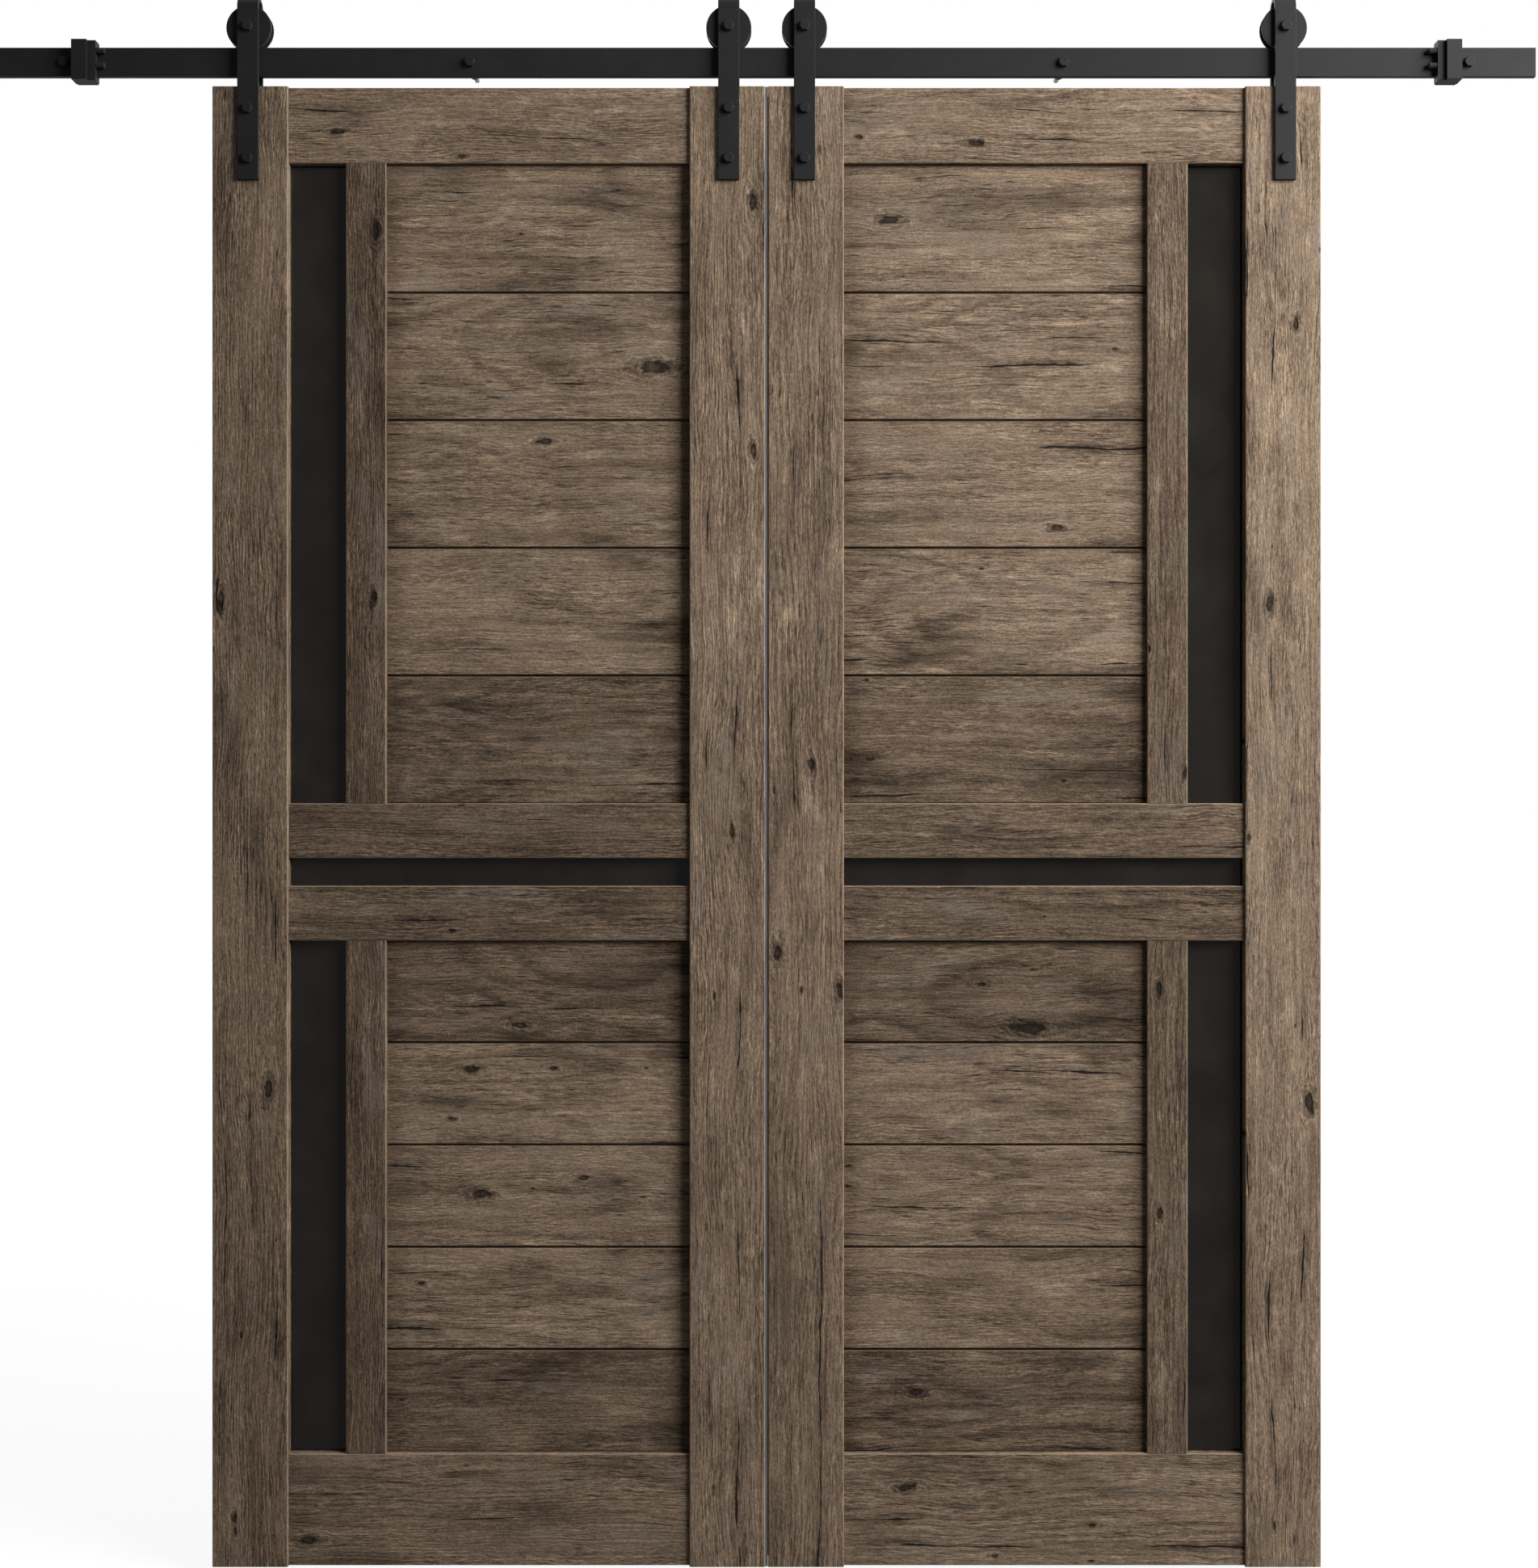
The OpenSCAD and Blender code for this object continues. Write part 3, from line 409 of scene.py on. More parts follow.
    # Tone from dark to light, with faint rings and a pale lip round the knots
    weights = {"fibre": 0.88, "nap": 0.55, "streak": 0.52, "strand": 0.22, "cloud": 0.3}
    late_weight = -0.19
    tone_offset = 0.69
    swirl_rate = 7.0
    lip_reach = 1.9
    tone = given["Shade"]
    for name, weight in weights.items():
        tone = add(tree, "ShaderNodeMath", [seen[name], weight, tone], operation="MULTIPLY_ADD")
    tone = add(tree, "ShaderNodeMath", [late, late_weight, tone], operation="MULTIPLY_ADD")
    tone = add(tree, "ShaderNodeMath", [tone, lip_highlight], operation="ADD")
    scuff = add(tree, "ShaderNodeMapRange", {
        "Value": seen["scuff"], "From Min": 0.56, "From Max": 0.74, "To Max": 0.24})
    tone = add(tree, "ShaderNodeMath", [tone, scuff], operation="ADD")
    tone = add(tree, "ShaderNodeMath", [tone, tone_offset], operation="SUBTRACT")
    swirl = add(tree, "ShaderNodeMath", [reach, swirl_rate], operation="MULTIPLY")
    swirl = add(tree, "ShaderNodeMath", [swirl], operation="SINE")
    near = add(tree, "ShaderNodeMapRange", {"Value": reach, "From Min": 3.5, "From Max": 1.0, "To Max": 0.15})
    tone = add(tree, "ShaderNodeMath", [swirl, near, tone], operation="MULTIPLY_ADD")
    lip = add(tree, "ShaderNodeMath", [reach, lip_reach], operation="SUBTRACT")
    lip = add(tree, "ShaderNodeMath", [lip], operation="ABSOLUTE")
    lip = add(tree, "ShaderNodeMapRange", {"Value": lip, "From Min": 0.8, "From Max": 0.0, "To Max": 0.02})
    tone = add(tree, "ShaderNodeMath", [tone, lip], operation="ADD")
    colour = add(tree, "ShaderNodeValToRGB", [tone], [
        (0.0, "#352b23"), (0.3, "#5d4e40"), (0.5, "#776554"), (0.7, "#907c68"), (1.0, "#b8a086")])

    # Grey patches where the sun has bleached the face, dark ones where rain has stood, and open pores
    bleach = add(tree, "ShaderNodeMapRange", {
        "Value": seen["bleach"], "From Min": 0.55, "From Max": 0.72, "To Max": 0.24})
    colour = add(tree, "ShaderNodeMix", {"Factor": bleach, "A": colour, "B": linear("#8d867d")},
                 data_type="RGBA")
    pore = add(tree, "ShaderNodeMapRange", {
        "Value": seen["pore"], "From Min": 0.58, "From Max": 0.68, "To Max": 0.9})
    pore = add(tree, "ShaderNodeMath", [pore, figured], operation="MULTIPLY")
    colour = add(tree, "ShaderNodeMix", {"Factor": pore, "A": colour, "B": linear("#32281f")},
                 data_type="RGBA")
    smudge = add(tree, "ShaderNodeMapRange", {
        "Value": seen["smudge"], "From Min": 0.5, "From Max": 0.74, "To Max": 1.0},
        interpolation_type="SMOOTHSTEP")
    smudge = add(tree, "ShaderNodeMath", [smudge, given["Smudged"]], operation="MULTIPLY")
    halo = add(tree, "ShaderNodeMapRange", {"Value": reach, "From Min": 2.2, "From Max": 0.8, "To Max": 0.8},
               interpolation_type="SMOOTHSTEP")
    stain = add(tree, "ShaderNodeMath", [smudge, halo], operation="MAXIMUM")
    stain = add(tree, "ShaderNodeMath", [stain, soaked], operation="MAXIMUM")
    colour = add(tree, "ShaderNodeMix", {"Factor": stain, "A": colour, "B": linear("#93928f")},
                 data_type="RGBA", blend_type="MULTIPLY")
    core = add(tree, "ShaderNodeMapRange", {
        "Value": reach, "From Min": 1.25, "From Max": 0.55, "To Max": 0.9}, interpolation_type="SMOOTHSTEP")
    grained = add(tree, "ShaderNodeMapRange", {
        "Value": tone, "From Min": 0.2, "From Max": 0.8, "To Min": 1.0, "To Max": 0.72})
    core = add(tree, "ShaderNodeMath", [core, grained], operation="MULTIPLY")
    dark = add(tree, "ShaderNodeMath", [core, check], operation="MAXIMUM")
    colour = add(tree, "ShaderNodeMix", {"Factor": dark, "A": colour, "B": linear("#221c18")},
                 data_type="RGBA")

    # Height of the face: raised fibres, with rings, pores, knots and checks sunk into it
    heights = ((seen["streak"], 0.5), (seen["nap"], 0.5), (late, -0.3), (pore, -0.4), (dark, -1.6))
    relief = seen["fibre"]
    for value, weight in heights:
        relief = add(tree, "ShaderNodeMath", [value, weight, relief], operation="MULTIPLY_ADD")
    roughness = add(tree, "ShaderNodeMapRange", {"Value": tone, "To Min": 0.95, "To Max": 0.75})
    add(tree, "NodeGroupOutput", [colour, roughness, relief])
    return tree


OAK_FIGURE = oak_figure()
ALONG_X = (math.pi / 2, 0, 0)
ALONG_Z = (math.pi / 2, 0, math.pi / 2)
SEED_STEP_MM = (613, 271, 11)
ROW_STEP_MM = (787, 91, 23)
NO_EYE = (0, 0, NO_KNOT_MM)
# How much darker the board rows beside the rails are painted, as shade
PAINTED_ROW_SHADE = -0.17
# How far the painted shade reaches in from each board end, in millimetres
END_SHADE_MM = 40
# Where the painted shade in the board joints is full and where it fades, as shares of the joint width
JOINT_SHADE_SHARES = (0.4, 0.9)
# Share of paler wood on the eased edges, partly wear and partly a painted highlight
EDGE_WEAR_AND_HIGHLIGHT = 0.4
FRAME_SMUDGED = 0.6
FIBRE_DEPTH = 0.75 * MM
OAK_SPECULAR = 0.12


def weathered_oak(name, grain, seed, eyes=(), shade=0.0, joints=None, ends=None, shaded_rows=()):
    """Reclaimed oak, sawn, brushed and left dull: brown-grey fibres with dark pores, knots, smudges and
    checks, paler along the eased edges, partly from wear and partly as a painted highlight. Boards in rows
    each come from another place in the tree, the given rows beside the rails are darker as painted shade,
    and painted shade lies in their joints and towards their ends. Joints are the height of the lowest one,
    their pitch and width, ends are where the boards' faces end, and all of it is in millimetres."""
    material, tree, place = new_material(name)
    cut = add(tree, "ShaderNodeMapping", {"Vector": place, "Rotation": grain}, vector_type="POINT")
    cut = add(tree, "ShaderNodeVectorMath", [cut, [seed * s for s in SEED_STEP_MM]], operation="ADD")
    if joints:
        first, pitch, width = joints
        height = add(tree, "ShaderNodeSeparateXYZ", [place]).node.outputs["Z"]
        rise = add(tree, "ShaderNodeMath", [height, first], operation="SUBTRACT")
        row = add(tree, "ShaderNodeMath", [rise, pitch], operation="DIVIDE")
        row = add(tree, "ShaderNodeMath", [row], operation="FLOOR")
        step = add(tree, "ShaderNodeVectorMath", {0: ROW_STEP_MM, "Scale": row}, operation="SCALE")
        cut = add(tree, "ShaderNodeVectorMath", [cut, step], operation="ADD")
        # The given rows beside the rails are darkened as painted shade
        for number in shaded_rows:
            in_shaded_row = add(tree, "ShaderNodeMath", [row, number, 0.5], operation="COMPARE")
            shade = add(tree, "ShaderNodeMath", [in_shaded_row, PAINTED_ROW_SHADE, shade], operation="MULTIPLY_ADD")
        # Painted shade in the open joints between the boards
        near = add(tree, "ShaderNodeMath", [rise, pitch / 2], operation="PINGPONG")
        joint_shade = add(tree, "ShaderNodeMapRange", {
            "Value": near, "From Min": width * JOINT_SHADE_SHARES[1], "From Max": width * JOINT_SHADE_SHARES[0],
            "To Max": 0.6})
        # Painted shade towards each end of a board, next to the stiles and mullion
        along = add(tree, "ShaderNodeSeparateXYZ", [place]).node.outputs["X"]
        along = add(tree, "ShaderNodeMath", [along, ends[0]], operation="SUBTRACT")
        end = add(tree, "ShaderNodeMath", [along, (ends[1] - ends[0]) / 2], operation="PINGPONG")
        end_shade = add(tree, "ShaderNodeMapRange", {
            "Value": end, "From Min": END_SHADE_MM, "From Max": 0.0, "To Max": 0.5},
            interpolation_type="SMOOTHSTEP")
    sockets = {"Cut": cut, "Shade": shade, "Smudged": 1.0 if joints else FRAME_SMUDGED}
    for socket, (x, z, radius) in zip(("First eye", "Second eye"), [*eyes, NO_EYE, NO_EYE]):
        along, across = (x, -z) if grain == ALONG_X else (z, x)
        row_number = math.floor((z - joints[0]) / joints[1]) if joints else 0
        sockets[socket] = (along + seed * SEED_STEP_MM[0] + row_number * ROW_STEP_MM[0],
                           across + seed * SEED_STEP_MM[1] + row_number * ROW_STEP_MM[1], radius)
    figure = add(tree, "ShaderNodeGroup", sockets, node_tree=OAK_FIGURE).node.outputs
    # Eased edges paler: partly wear, partly a painted highlight
    worn_and_highlit = add(tree, "ShaderNodeMath", [eased(tree), EDGE_WEAR_AND_HIGHLIGHT], operation="MULTIPLY")
    colour = add(tree, "ShaderNodeMix", {"Factor": worn_and_highlit, "A": figure["Colour"], "B": linear("#a8927a")},
                 data_type="RGBA")
    if joints:
        # Painted shade towards the board ends, then painted shade in the joints
        colour = add(tree, "ShaderNodeMix", {"Factor": end_shade, "A": colour, "B": linear("#a69f98")},
                     data_type="RGBA", blend_type="MULTIPLY")
        colour = add(tree, "ShaderNodeMix", {"Factor": joint_shade, "A": colour, "B": linear("#2b2219")},
                     data_type="RGBA")
    bump = add(tree, "ShaderNodeBump", {"Strength": 1.0, "Distance": FIBRE_DEPTH, "Height": figure["Relief"]})
    wood = add(tree, "ShaderNodeBsdfPrincipled", {
        "Base Color": colour, "Roughness": figure["Roughness"], "Specular IOR Level": OAK_SPECULAR,
        "Normal": bump})
    add(tree, "ShaderNodeOutputMaterial", [wood])
    return material


HANDS = ("left", "right")
FRAME_SEED = 1
FRAME_HAND_STEP = 11
# How much lighter or darker each kind of piece is than the mean oak, and then some pieces by themselves
DARK_STOCK = -0.19
UPRIGHTS = {"outer_stile": 0.0, "meeting_stile": 0.0,
            "upper_mullion": DARK_STOCK, "lower_mullion": DARK_STOCK}
RAILS = {"top_rail": 0.0, "upper_middle_rail": DARK_STOCK,
         "lower_middle_rail": DARK_STOCK, "bottom_rail": 0.0}
# Own tones of single pieces, partly a real difference in the oak and partly painted light and shade: mostly
# darker pieces on the left leaf and lighter ones on the right, as the light falls from the right
OWN_TONE_AND_LIGHT = {
    "left_outer_stile": -0.07, "right_outer_stile": 0.05, "right_meeting_stile": -0.02,
    "left_upper_mullion": -0.05, "left_lower_mullion": -0.03, "left_bottom_rail": -0.04,
    "right_upper_middle_rail": 0.05, "right_lower_middle_rail": 0.03,
    "right_upper_boards": 0.03, "left_lower_boards": 0.03,
}
# Large knots: their x, z and radius in millimetres
FRAME_EYES = {
    "left_outer_stile": [(-750, -740, 5), (-684, -1410, 6)],
    "right_outer_stile": [(690, -745, 5), (744, -1430, 6)],
    "left_meeting_stile": [(-19, -194, 5.5), (-19, -536, 4.5)],
    "right_meeting_stile": [(14, -1225, 5.5), (60, -965, 4)],
    "left_upper_mullion": [(-538, -232, 5)],
    "left_top_rail": [(-590, -96, 4)],
    "left_bottom_rail": [(-632, -2032, 6)],
    "right_bottom_rail": [(190, -1960, 5)],
}
for hand_number, hand in enumerate(HANDS):
    for number, (piece, shade) in enumerate({**UPRIGHTS, **RAILS}.items()):
        node = f"{hand}_{piece}"
        grain = ALONG_Z if piece in UPRIGHTS else ALONG_X
        seed = FRAME_SEED + number + FRAME_HAND_STEP * hand_number
        shade += OWN_TONE_AND_LIGHT.get(node, 0.0)
        dress(weathered_oak("oak_" + node, grain, seed, FRAME_EYES.get(node, ()), shade), node)

# Steamed beech, turned to plain rods: pale brown with fine short flecks along the dowel.
FLECK_MM = (9.0, 0.8, 0.8)
FLECK_DEPTH = 0.1 * MM
BEECH, tree, place = new_material("steamed_beech")
along = add(tree, "ShaderNodeVectorMath", [place, [1 / s for s in FLECK_MM]], operation="MULTIPLY")
flecks = add(tree, "ShaderNodeTexNoise", {"Vector": along, "Scale": 1.0, "Detail": 4.0})
colour = add(tree, "ShaderNodeValToRGB", [flecks], [(0.35, "#a98255"), (0.55, "#c8a878"), (0.75, "#d8bd92")])
bump = add(tree, "ShaderNodeBump", {"Strength": 0.3, "Distance": FLECK_DEPTH, "Height": flecks})
wood = add(tree, "ShaderNodeBsdfPrincipled", {"Base Color": colour, "Roughness": 0.6, "Normal": bump})
add(tree, "ShaderNodeOutputMaterial", [wood])
for hand in HANDS:
    dress(BEECH, f"{hand}_dowels")

# Boards
# Five tongued boards fill each panel, cut from the same oak as the frame and laid with open joints.
# They float in the grooves of rails, mullion and stile, so each shows its own figure.

BOARD_ROWS = 5
BOARD_JOINT_MM = 3.0
BOARD_SEED = 31
BOARD_HAND_STEP = 7
# Each panel's rail below, its rail above, and its rows darkened as painted shade beside the rails
PANELS = {"upper_boards": ("upper_middle_rail", "top_rail", (0,)),
          "lower_boards": ("bottom_rail", "lower_middle_rail", (0, 4))}
BOARD_EYES = {
    "left_upper_boards": [(-156, -418, 9), (-306, -520, 4)],
    "left_lower_boards": [(-395, -1558, 6), (-340, -1325, 5)],
    "right_upper_boards": [(170, -215, 6), (400, -640, 4)],
    "right_lower_boards": [(363, -1330, 9), (205, -1832, 5)],
}
for hand_number, hand in enumerate(HANDS):
    for number, (piece, (rail_below, rail_above, shaded_rows)) in enumerate(PANELS.items()):
        node = f"{hand}_{piece}"
        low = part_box(f"{hand}_{rail_below}")[1].z / MM
        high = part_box(f"{hand}_{rail_above}")[0].z / MM
        joints = (low, (high - low) / BOARD_ROWS, BOARD_JOINT_MM)
        sides = [c.x / MM for post in ("upper_mullion", "meeting_stile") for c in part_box(f"{hand}_{post}")]
        seed = BOARD_SEED + number + BOARD_HAND_STEP * hand_number
        dress(weathered_oak("oak_" + node, ALONG_X, seed, BOARD_EYES[node], OWN_TONE_AND_LIGHT.get(node, 0.0),
                            joints, sorted(sides)[1:3], shaded_rows), node)

# Panes
# Strips of float glass, lacquered black on the back, stand beside the outer stiles and between the middle
# rails. Their edges sit in the same grooves as the boards.

# Back-lacquered float glass: a black mirror with a faint warm film of dust.
FILM_MM = 60
GLASS, tree, place = new_material("black_lacquered_glass")
film = add(tree, "ShaderNodeTexNoise", {"Vector": place, "Scale": 1 / FILM_MM, "Detail": 6.0})
colour = add(tree, "ShaderNodeValToRGB", [film], [(0.3, "#1c1916"), (0.7, "#26221e")])
roughness = add(tree, "ShaderNodeMapRange", {"Value": film, "To Min": 0.02, "To Max": 0.09})
lacquered = add(tree, "ShaderNodeBsdfPrincipled", {
    "Base Color": colour, "Roughness": roughness, "IOR": 1.52})
add(tree, "ShaderNodeOutputMaterial", [lacquered])
for hand in HANDS:
    dress(GLASS, f"{hand}_upper_pane", f"{hand}_middle_pane", f"{hand}_lower_pane")

# Meeting seal
# A strip of extruded grey rubber, T-shaped in section, closes the joint between the two leaves.
# Its flange is tacked to the back of the left meeting stile, and its leg fills most of the joint.

# Extruded grey rubber: matt, with a faint dusty bloom in lines along the strip. Its grey partly paints
# the shade seen down the joint between the leaves.
SEAL_LINE_MM = (2.0, 2.0, 60.0)
GAP_SHADE_RUBBER, tree, place = new_material("grey_rubber_gap_shade")
along = add(tree, "ShaderNodeVectorMath", [place, [1 / s for s in SEAL_LINE_MM]], operation="MULTIPLY")
bloom = add(tree, "ShaderNodeTexNoise", {"Vector": along, "Scale": 1.0, "Detail": 4.0})
colour = add(tree, "ShaderNodeValToRGB", [bloom], [(0.3, "#5d6064"), (0.7, "#74777b")])
roughness = add(tree, "ShaderNodeMapRange", {"Value": bloom, "To Min": 0.7, "To Max": 0.9})
rubber = add(tree, "ShaderNodeBsdfPrincipled", {
    "Base Color": colour, "Roughness": roughness, "Specular IOR Level": MATT_SPECULAR})
add(tree, "ShaderNodeOutputMaterial", [rubber])

SEAL_PLAY = 0.3 * MM
SEAL_SET_BACK = 2 * MM
SEAL_FLANGE = 12 * MM
SEAL_THICK = 2.5 * MM
SEAL_OFF_WOOD = 0.02 * MM
left_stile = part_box("left_meeting_stile")
seal_left = left_stile[1].x + SEAL_OFF_WOOD
seal_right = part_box("right_meeting_stile")[0].x - SEAL_PLAY
seal_front = left_stile[0].y + SEAL_SET_BACK
wood_back = left_stile[1].y + SEAL_OFF_WOOD
seal_back = left_stile[1].y + SEAL_PLAY
section = [
    (seal_left, seal_front), (seal_right, seal_front), (seal_right, seal_back),
    (seal_right + SEAL_FLANGE, seal_back), (seal_right + SEAL_FLANGE, seal_back + SEAL_THICK),
    (seal_left - SEAL_FLANGE, seal_back + SEAL_THICK), (seal_left - SEAL_FLANGE, wood_back),
    (seal_left, wood_back),
]
seal_mesh = bmesh.new()
rings = [[seal_mesh.verts.new((x, y, z)) for x, y in section] for z in (left_stile[0].z, left_stile[1].z)]
for a in range(len(section)):
    b = (a + 1) % len(section)
    seal_mesh.faces.new((rings[0][a], rings[0][b], rings[1][b], rings[1][a]))
seal_mesh.faces.new(rings[0][::-1])
seal_mesh.faces.new(rings[1])
bmesh.ops.recalc_face_normals(seal_mesh, faces=seal_mesh.faces)
seal = bpy.data.objects.new("meeting_seal", bpy.data.meshes.new("meeting_seal"))
seal_mesh.to_mesh(seal.data)
seal_mesh.free()
seal.data.materials.append(GAP_SHADE_RUBBER)
bpy.context.scene.collection.objects.link(seal)
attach(seal, "left_leaf")

HEAD_SEGMENTS = 16
HEAD_RINGS = 8


def tack_tree():
    """Geometry nodes: a row of low round tack heads along +Z from every point that carries the tree."""
    tree = bpy.data.node_groups.new("tacks", "GeometryNodeTree")
    tree.interface.new_socket("Points", in_out="INPUT", socket_type="NodeSocketGeometry")
    tree.interface.new_socket("Count", in_out="INPUT", socket_type="NodeSocketInt")
    for name in ("Pitch", "Head radius", "Flatness"):
        tree.interface.new_socket(name, in_out="INPUT", socket_type="NodeSocketFloat")
    tree.interface.new_socket("Material", in_out="INPUT", socket_type="NodeSocketMaterial")
    tree.interface.new_socket("Tacks", in_out="OUTPUT", socket_type="NodeSocketGeometry")
    given = add(tree, "NodeGroupInput", {}).node.outputs
    step = add(tree, "ShaderNodeCombineXYZ", {"Z": given["Pitch"]})
    row = add(tree, "GeometryNodeMeshLine", {"Count": given["Count"], "Offset": step})
    rows = add(tree, "GeometryNodeInstanceOnPoints", {"Points": given["Points"], "Instance": row})
    rows = add(tree, "GeometryNodeRealizeInstances", {"Geometry": rows})
    ball = add(tree, "GeometryNodeMeshUVSphere", {
        "Segments": HEAD_SEGMENTS, "Rings": HEAD_RINGS, "Radius": given["Head radius"]})
    low = add(tree, "ShaderNodeCombineXYZ", {"X": 1.0, "Y": given["Flatness"], "Z": 1.0})
    head = add(tree, "GeometryNodeTransform", {"Geometry": ball, "Scale": low})
    head = add(tree, "GeometryNodeSetShadeSmooth", {"Geometry": head})
    copies = add(tree, "GeometryNodeInstanceOnPoints", {"Points": rows, "Instance": head})
    real = add(tree, "GeometryNodeRealizeInstances", {"Geometry": copies})
    done = add(tree, "GeometryNodeSetMaterial", {"Geometry": real, "Material": given["Material"]})
    add(tree, "NodeGroupOutput", [done])
    return tree


TACK_COUNT = 17
TACK_END = 60 * MM
TACK_HEAD = 3.5 * MM
TACK_FLATNESS = 0.45
seal_run = left_stile[1].z - left_stile[0].z - 2 * TACK_END
first_tack = (seal_left - SEAL_FLANGE / 2, seal_back + SEAL_THICK, left_stile[0].z + TACK_END)
tacks = grow("seal_tacks", [first_tack], tack_tree(), {
    "Count": TACK_COUNT, "Pitch": seal_run / (TACK_COUNT - 1), "Head radius": TACK_HEAD,
    "Flatness": TACK_FLATNESS, "Material": ZINC})
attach(tacks, "left_leaf")

# Hangers
# A flat bar, bent over the wheel, hangs each corner of a leaf: two hex bolts clamp its long leg to the stile.
# The bolts turn into sleeve nuts let in from the back, and all of it is coated black.

for hand in HANDS:
    dress(BLACK_COAT, f"{hand}_outer_strap", f"{hand}_inner_strap", f"{hand}_door_bolts",
          f"{hand}_sleeve_nuts")

# Wheels
# Turned steel wheels with a groove for the rail, coated black, on ball bearings of bare steel.
# Each runs on a bolt through its strap, held by a lock nut, between two ground spacers.

# Ground bearing steel: bright, cool and finely scratched.
SCRATCH_MM = 0.8
GROUND_STEEL, tree, place = new_material("ground_bearing_steel")
scratches = add(tree, "ShaderNodeTexNoise", {"Vector": place, "Scale": 1 / SCRATCH_MM, "Detail": 3.0})
colour = add(tree, "ShaderNodeValToRGB", [scratches], [(0.3, "#a8aaac"), (0.7, "#c8cacc")])
roughness = add(tree, "ShaderNodeMapRange", {"Value": scratches, "To Min": 0.2, "To Max": 0.36})
metal = add(tree, "ShaderNodeBsdfPrincipled", {"Base Color": colour, "Roughness": roughness, "Metallic": 1.0})
add(tree, "ShaderNodeOutputMaterial", [metal])
for hand in HANDS:
    dress(BLACK_COAT, f"{hand}_outer_wheel", f"{hand}_inner_wheel", f"{hand}_axle_bolts", f"{hand}_axle_nuts")
    dress(GROUND_STEEL, f"{hand}_outer_bearing", f"{hand}_inner_bearing", f"{hand}_axle_spacers",
          f"{hand}_bearing_inner_rings")

# Rolled thread on the free end of each axle bolt, past its lock nut
AXLE_THREAD_SHORT = 0.8 * MM
AXLE_CORE = 3.75 * MM
AXLE_RIDGE = 0.45 * MM
AXLE_PITCH = 1.25 * MM
for hand in HANDS:
    nut_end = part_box(f"{hand}_axle_nuts")[1].y
    bolt_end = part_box(f"{hand}_axle_bolts")[1].y
    axles = [j["pos_m"] for j in frame["record"]["behaviour"]["joints"]
             if j["type"] == "hinge" and j["parent"] == f"{hand}_leaf"]
    axle_threads = grow(f"{hand}_axle_threads", [(x, nut_end, z) for x, _, z in axles], THREAD, {
        "Core radius": AXLE_CORE, "Ridge": AXLE_RIDGE, "Pitch": AXLE_PITCH,
        "Length": bolt_end - nut_end - AXLE_THREAD_SHORT, "Material": BLACK_COAT})
    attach(axle_threads, f"{hand}_leaf")

# Studio
# A pale floor just under the leaves, a large softbox high on the right, a weaker one behind, and dim light
# all round. The camera sees floor and sky as white, and gloss and glass mirror that white from behind.

FLOOR_GAP = 12 * MM
FLOOR_HALF = 9.0
FLOOR_FRONT = 0.25
FLOOR_PAINT = "#616161"
FLOOR_GLOW = (0.88, 1.0)
GLOW_MM = (900, 3000)
floor_z = cad_box[0].z - FLOOR_GAP
floor_corners = [(-FLOOR_HALF, -FLOOR_FRONT), (FLOOR_HALF, -FLOOR_FRONT),
                 (FLOOR_HALF, FLOOR_HALF), (-FLOOR_HALF, FLOOR_HALF)]
floor = bpy.data.objects.new("floor", bpy.data.meshes.new("floor"))
floor.data.from_pydata([(x, y, floor_z) for x, y in floor_corners], [], [(0, 1, 2, 3)])
bpy.context.scene.collection.objects.link(floor)


def seen_white(tree, behind):
    """1 for rays from the camera, and the given share for those off gloss or through glass."""
    path = add(tree, "ShaderNodeLightPath", {}).node.outputs
    mirrored = add(tree, "ShaderNodeMath", [path["Is Glossy Ray"], path["Is Transmission Ray"]],
                   operation="MAXIMUM")
    mirrored = add(tree, "ShaderNodeMath", [mirrored, behind], operation="MULTIPLY")
    return add(tree, "ShaderNodeMath", [path["Is Camera Ray"], mirrored], operation="MAXIMUM")


floor_paint, tree, place = new_material("pale_floor_paint")
matt = add(tree, "ShaderNodeBsdfDiffuse", {"Color": linear(FLOOR_PAINT)})
far = add(tree, "ShaderNodeVectorMath", [place], operation="LENGTH").node.outputs["Value"]
white = add(tree, "ShaderNodeMapRange", {
    "Value": far, "From Min": GLOW_MM[0] - floor_z / MM, "From Max": GLOW_MM[1] - floor_z / MM,
    "To Min": FLOOR_GLOW[0], "To Max": FLOOR_GLOW[1]})
strength = add(tree, "ShaderNodeMath", [seen_white(tree, 1.0), white], operation="MULTIPLY")
glow = add(tree, "ShaderNodeEmission", {"Color": linear("#ffffff"), "Strength": strength})
add(tree, "ShaderNodeOutputMaterial", [add(tree, "ShaderNodeAddShader", [matt, glow])])
floor.data.materials.append(floor_paint)

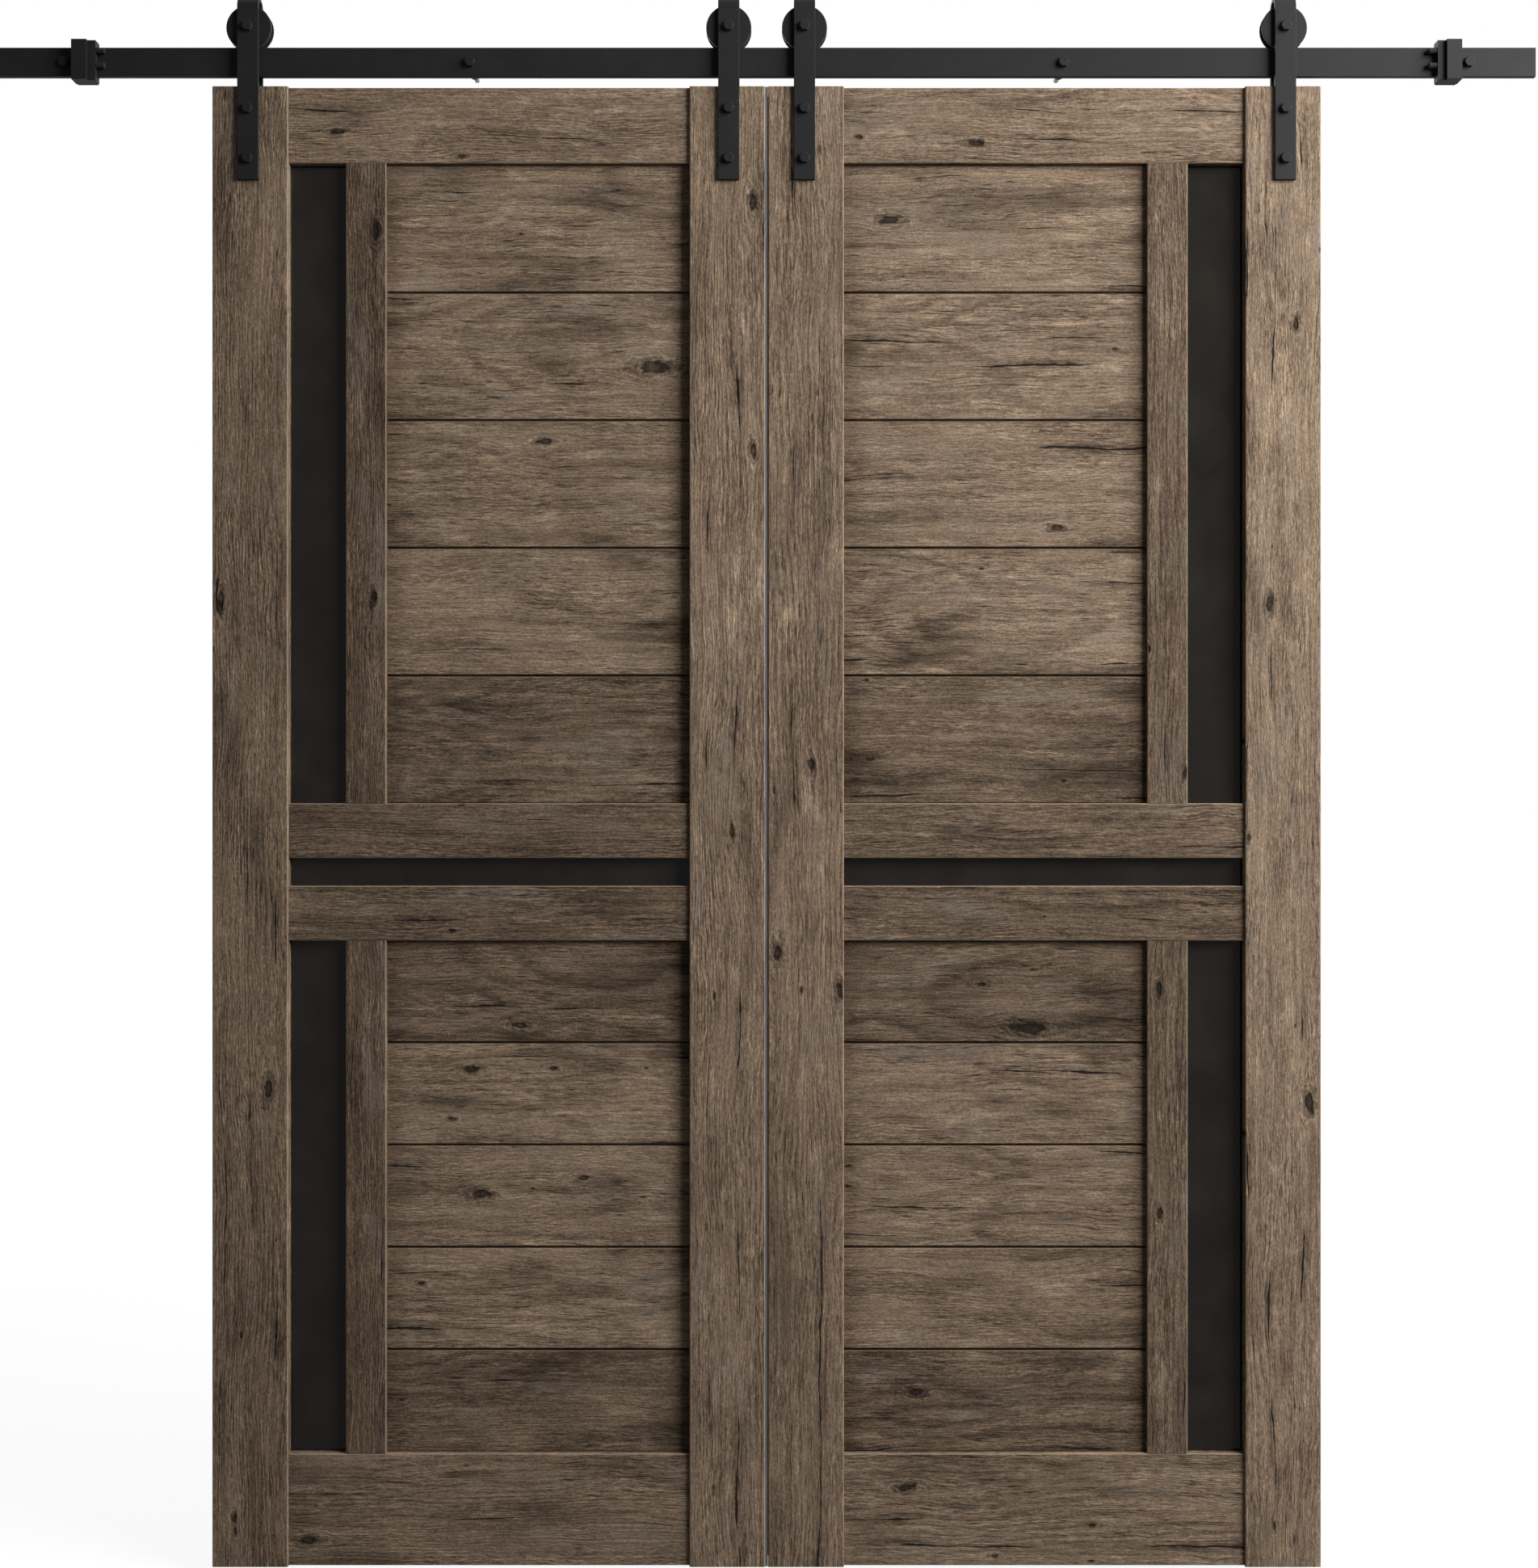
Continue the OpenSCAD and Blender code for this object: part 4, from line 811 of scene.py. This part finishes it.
AMBIENT = 0.15
HORIZON = (-0.1, 0.2)
world = bpy.data.worlds.new("studio")
world.use_nodes = True
bpy.context.scene.world = world
tree = world.node_tree
tree.nodes.clear()
way = add(tree, "ShaderNodeSeparateXYZ", [add(tree, "ShaderNodeTexCoord", {})]).node.outputs["Y"]
behind = add(tree, "ShaderNodeMapRange", {"Value": way, "From Min": HORIZON[0], "From Max": HORIZON[1]})
strength = add(tree, "ShaderNodeMapRange", {
    "Value": seen_white(tree, behind), "To Min": AMBIENT, "To Max": 1.0})
sky = add(tree, "ShaderNodeBackground", {"Color": linear("#ffffff"), "Strength": strength})
add(tree, "ShaderNodeOutputWorld", [sky])


def softbox(name, place, aim, size, power):
    """A square soft light that looks at a point."""
    lamp = bpy.data.lights.new(name, "AREA")
    lamp.size = size
    lamp.energy = power
    box = bpy.data.objects.new(name, lamp)
    box.location = place
    box.rotation_euler = (Vector(aim) - Vector(place)).to_track_quat("-Z", "Y").to_euler()
    box.visible_camera = False
    bpy.context.scene.collection.objects.link(box)


softbox("side_softbox", place=(3.0, -1.75, 0.88), aim=(0, 0, -0.95), size=2.4, power=300)
softbox("back_softbox", place=(-1.5, 3.2, 0.8), aim=(0, 0, -1.0), size=2.0, power=120)

# Camera
# Straight in front of the leaves and level, as far off as the perspective of the edges says.
# It stands a little to the right of the joint and just above the middle of the leaves.

PHOTO_H = 1941
FOCAL_PX = 2433
SENSOR_MM = 36
CAMERA_ASIDE = 3.25 * MM
CAMERA_FROM_STILE = 2.697
CAMERA_HEIGHT = -0.9925
lens = bpy.data.cameras.new("camera")
lens.sensor_width = SENSOR_MM
lens.lens = FOCAL_PX * SENSOR_MM / PHOTO_H
camera = bpy.data.objects.new("camera", lens)
camera.location = (CAMERA_ASIDE, left_stile[0].y - CAMERA_FROM_STILE, CAMERA_HEIGHT)
camera.rotation_euler = (math.pi / 2, 0, 0)
bpy.context.scene.collection.objects.link(camera)
bpy.context.scene.camera = camera
bpy.context.scene.view_settings.view_transform = "Standard"
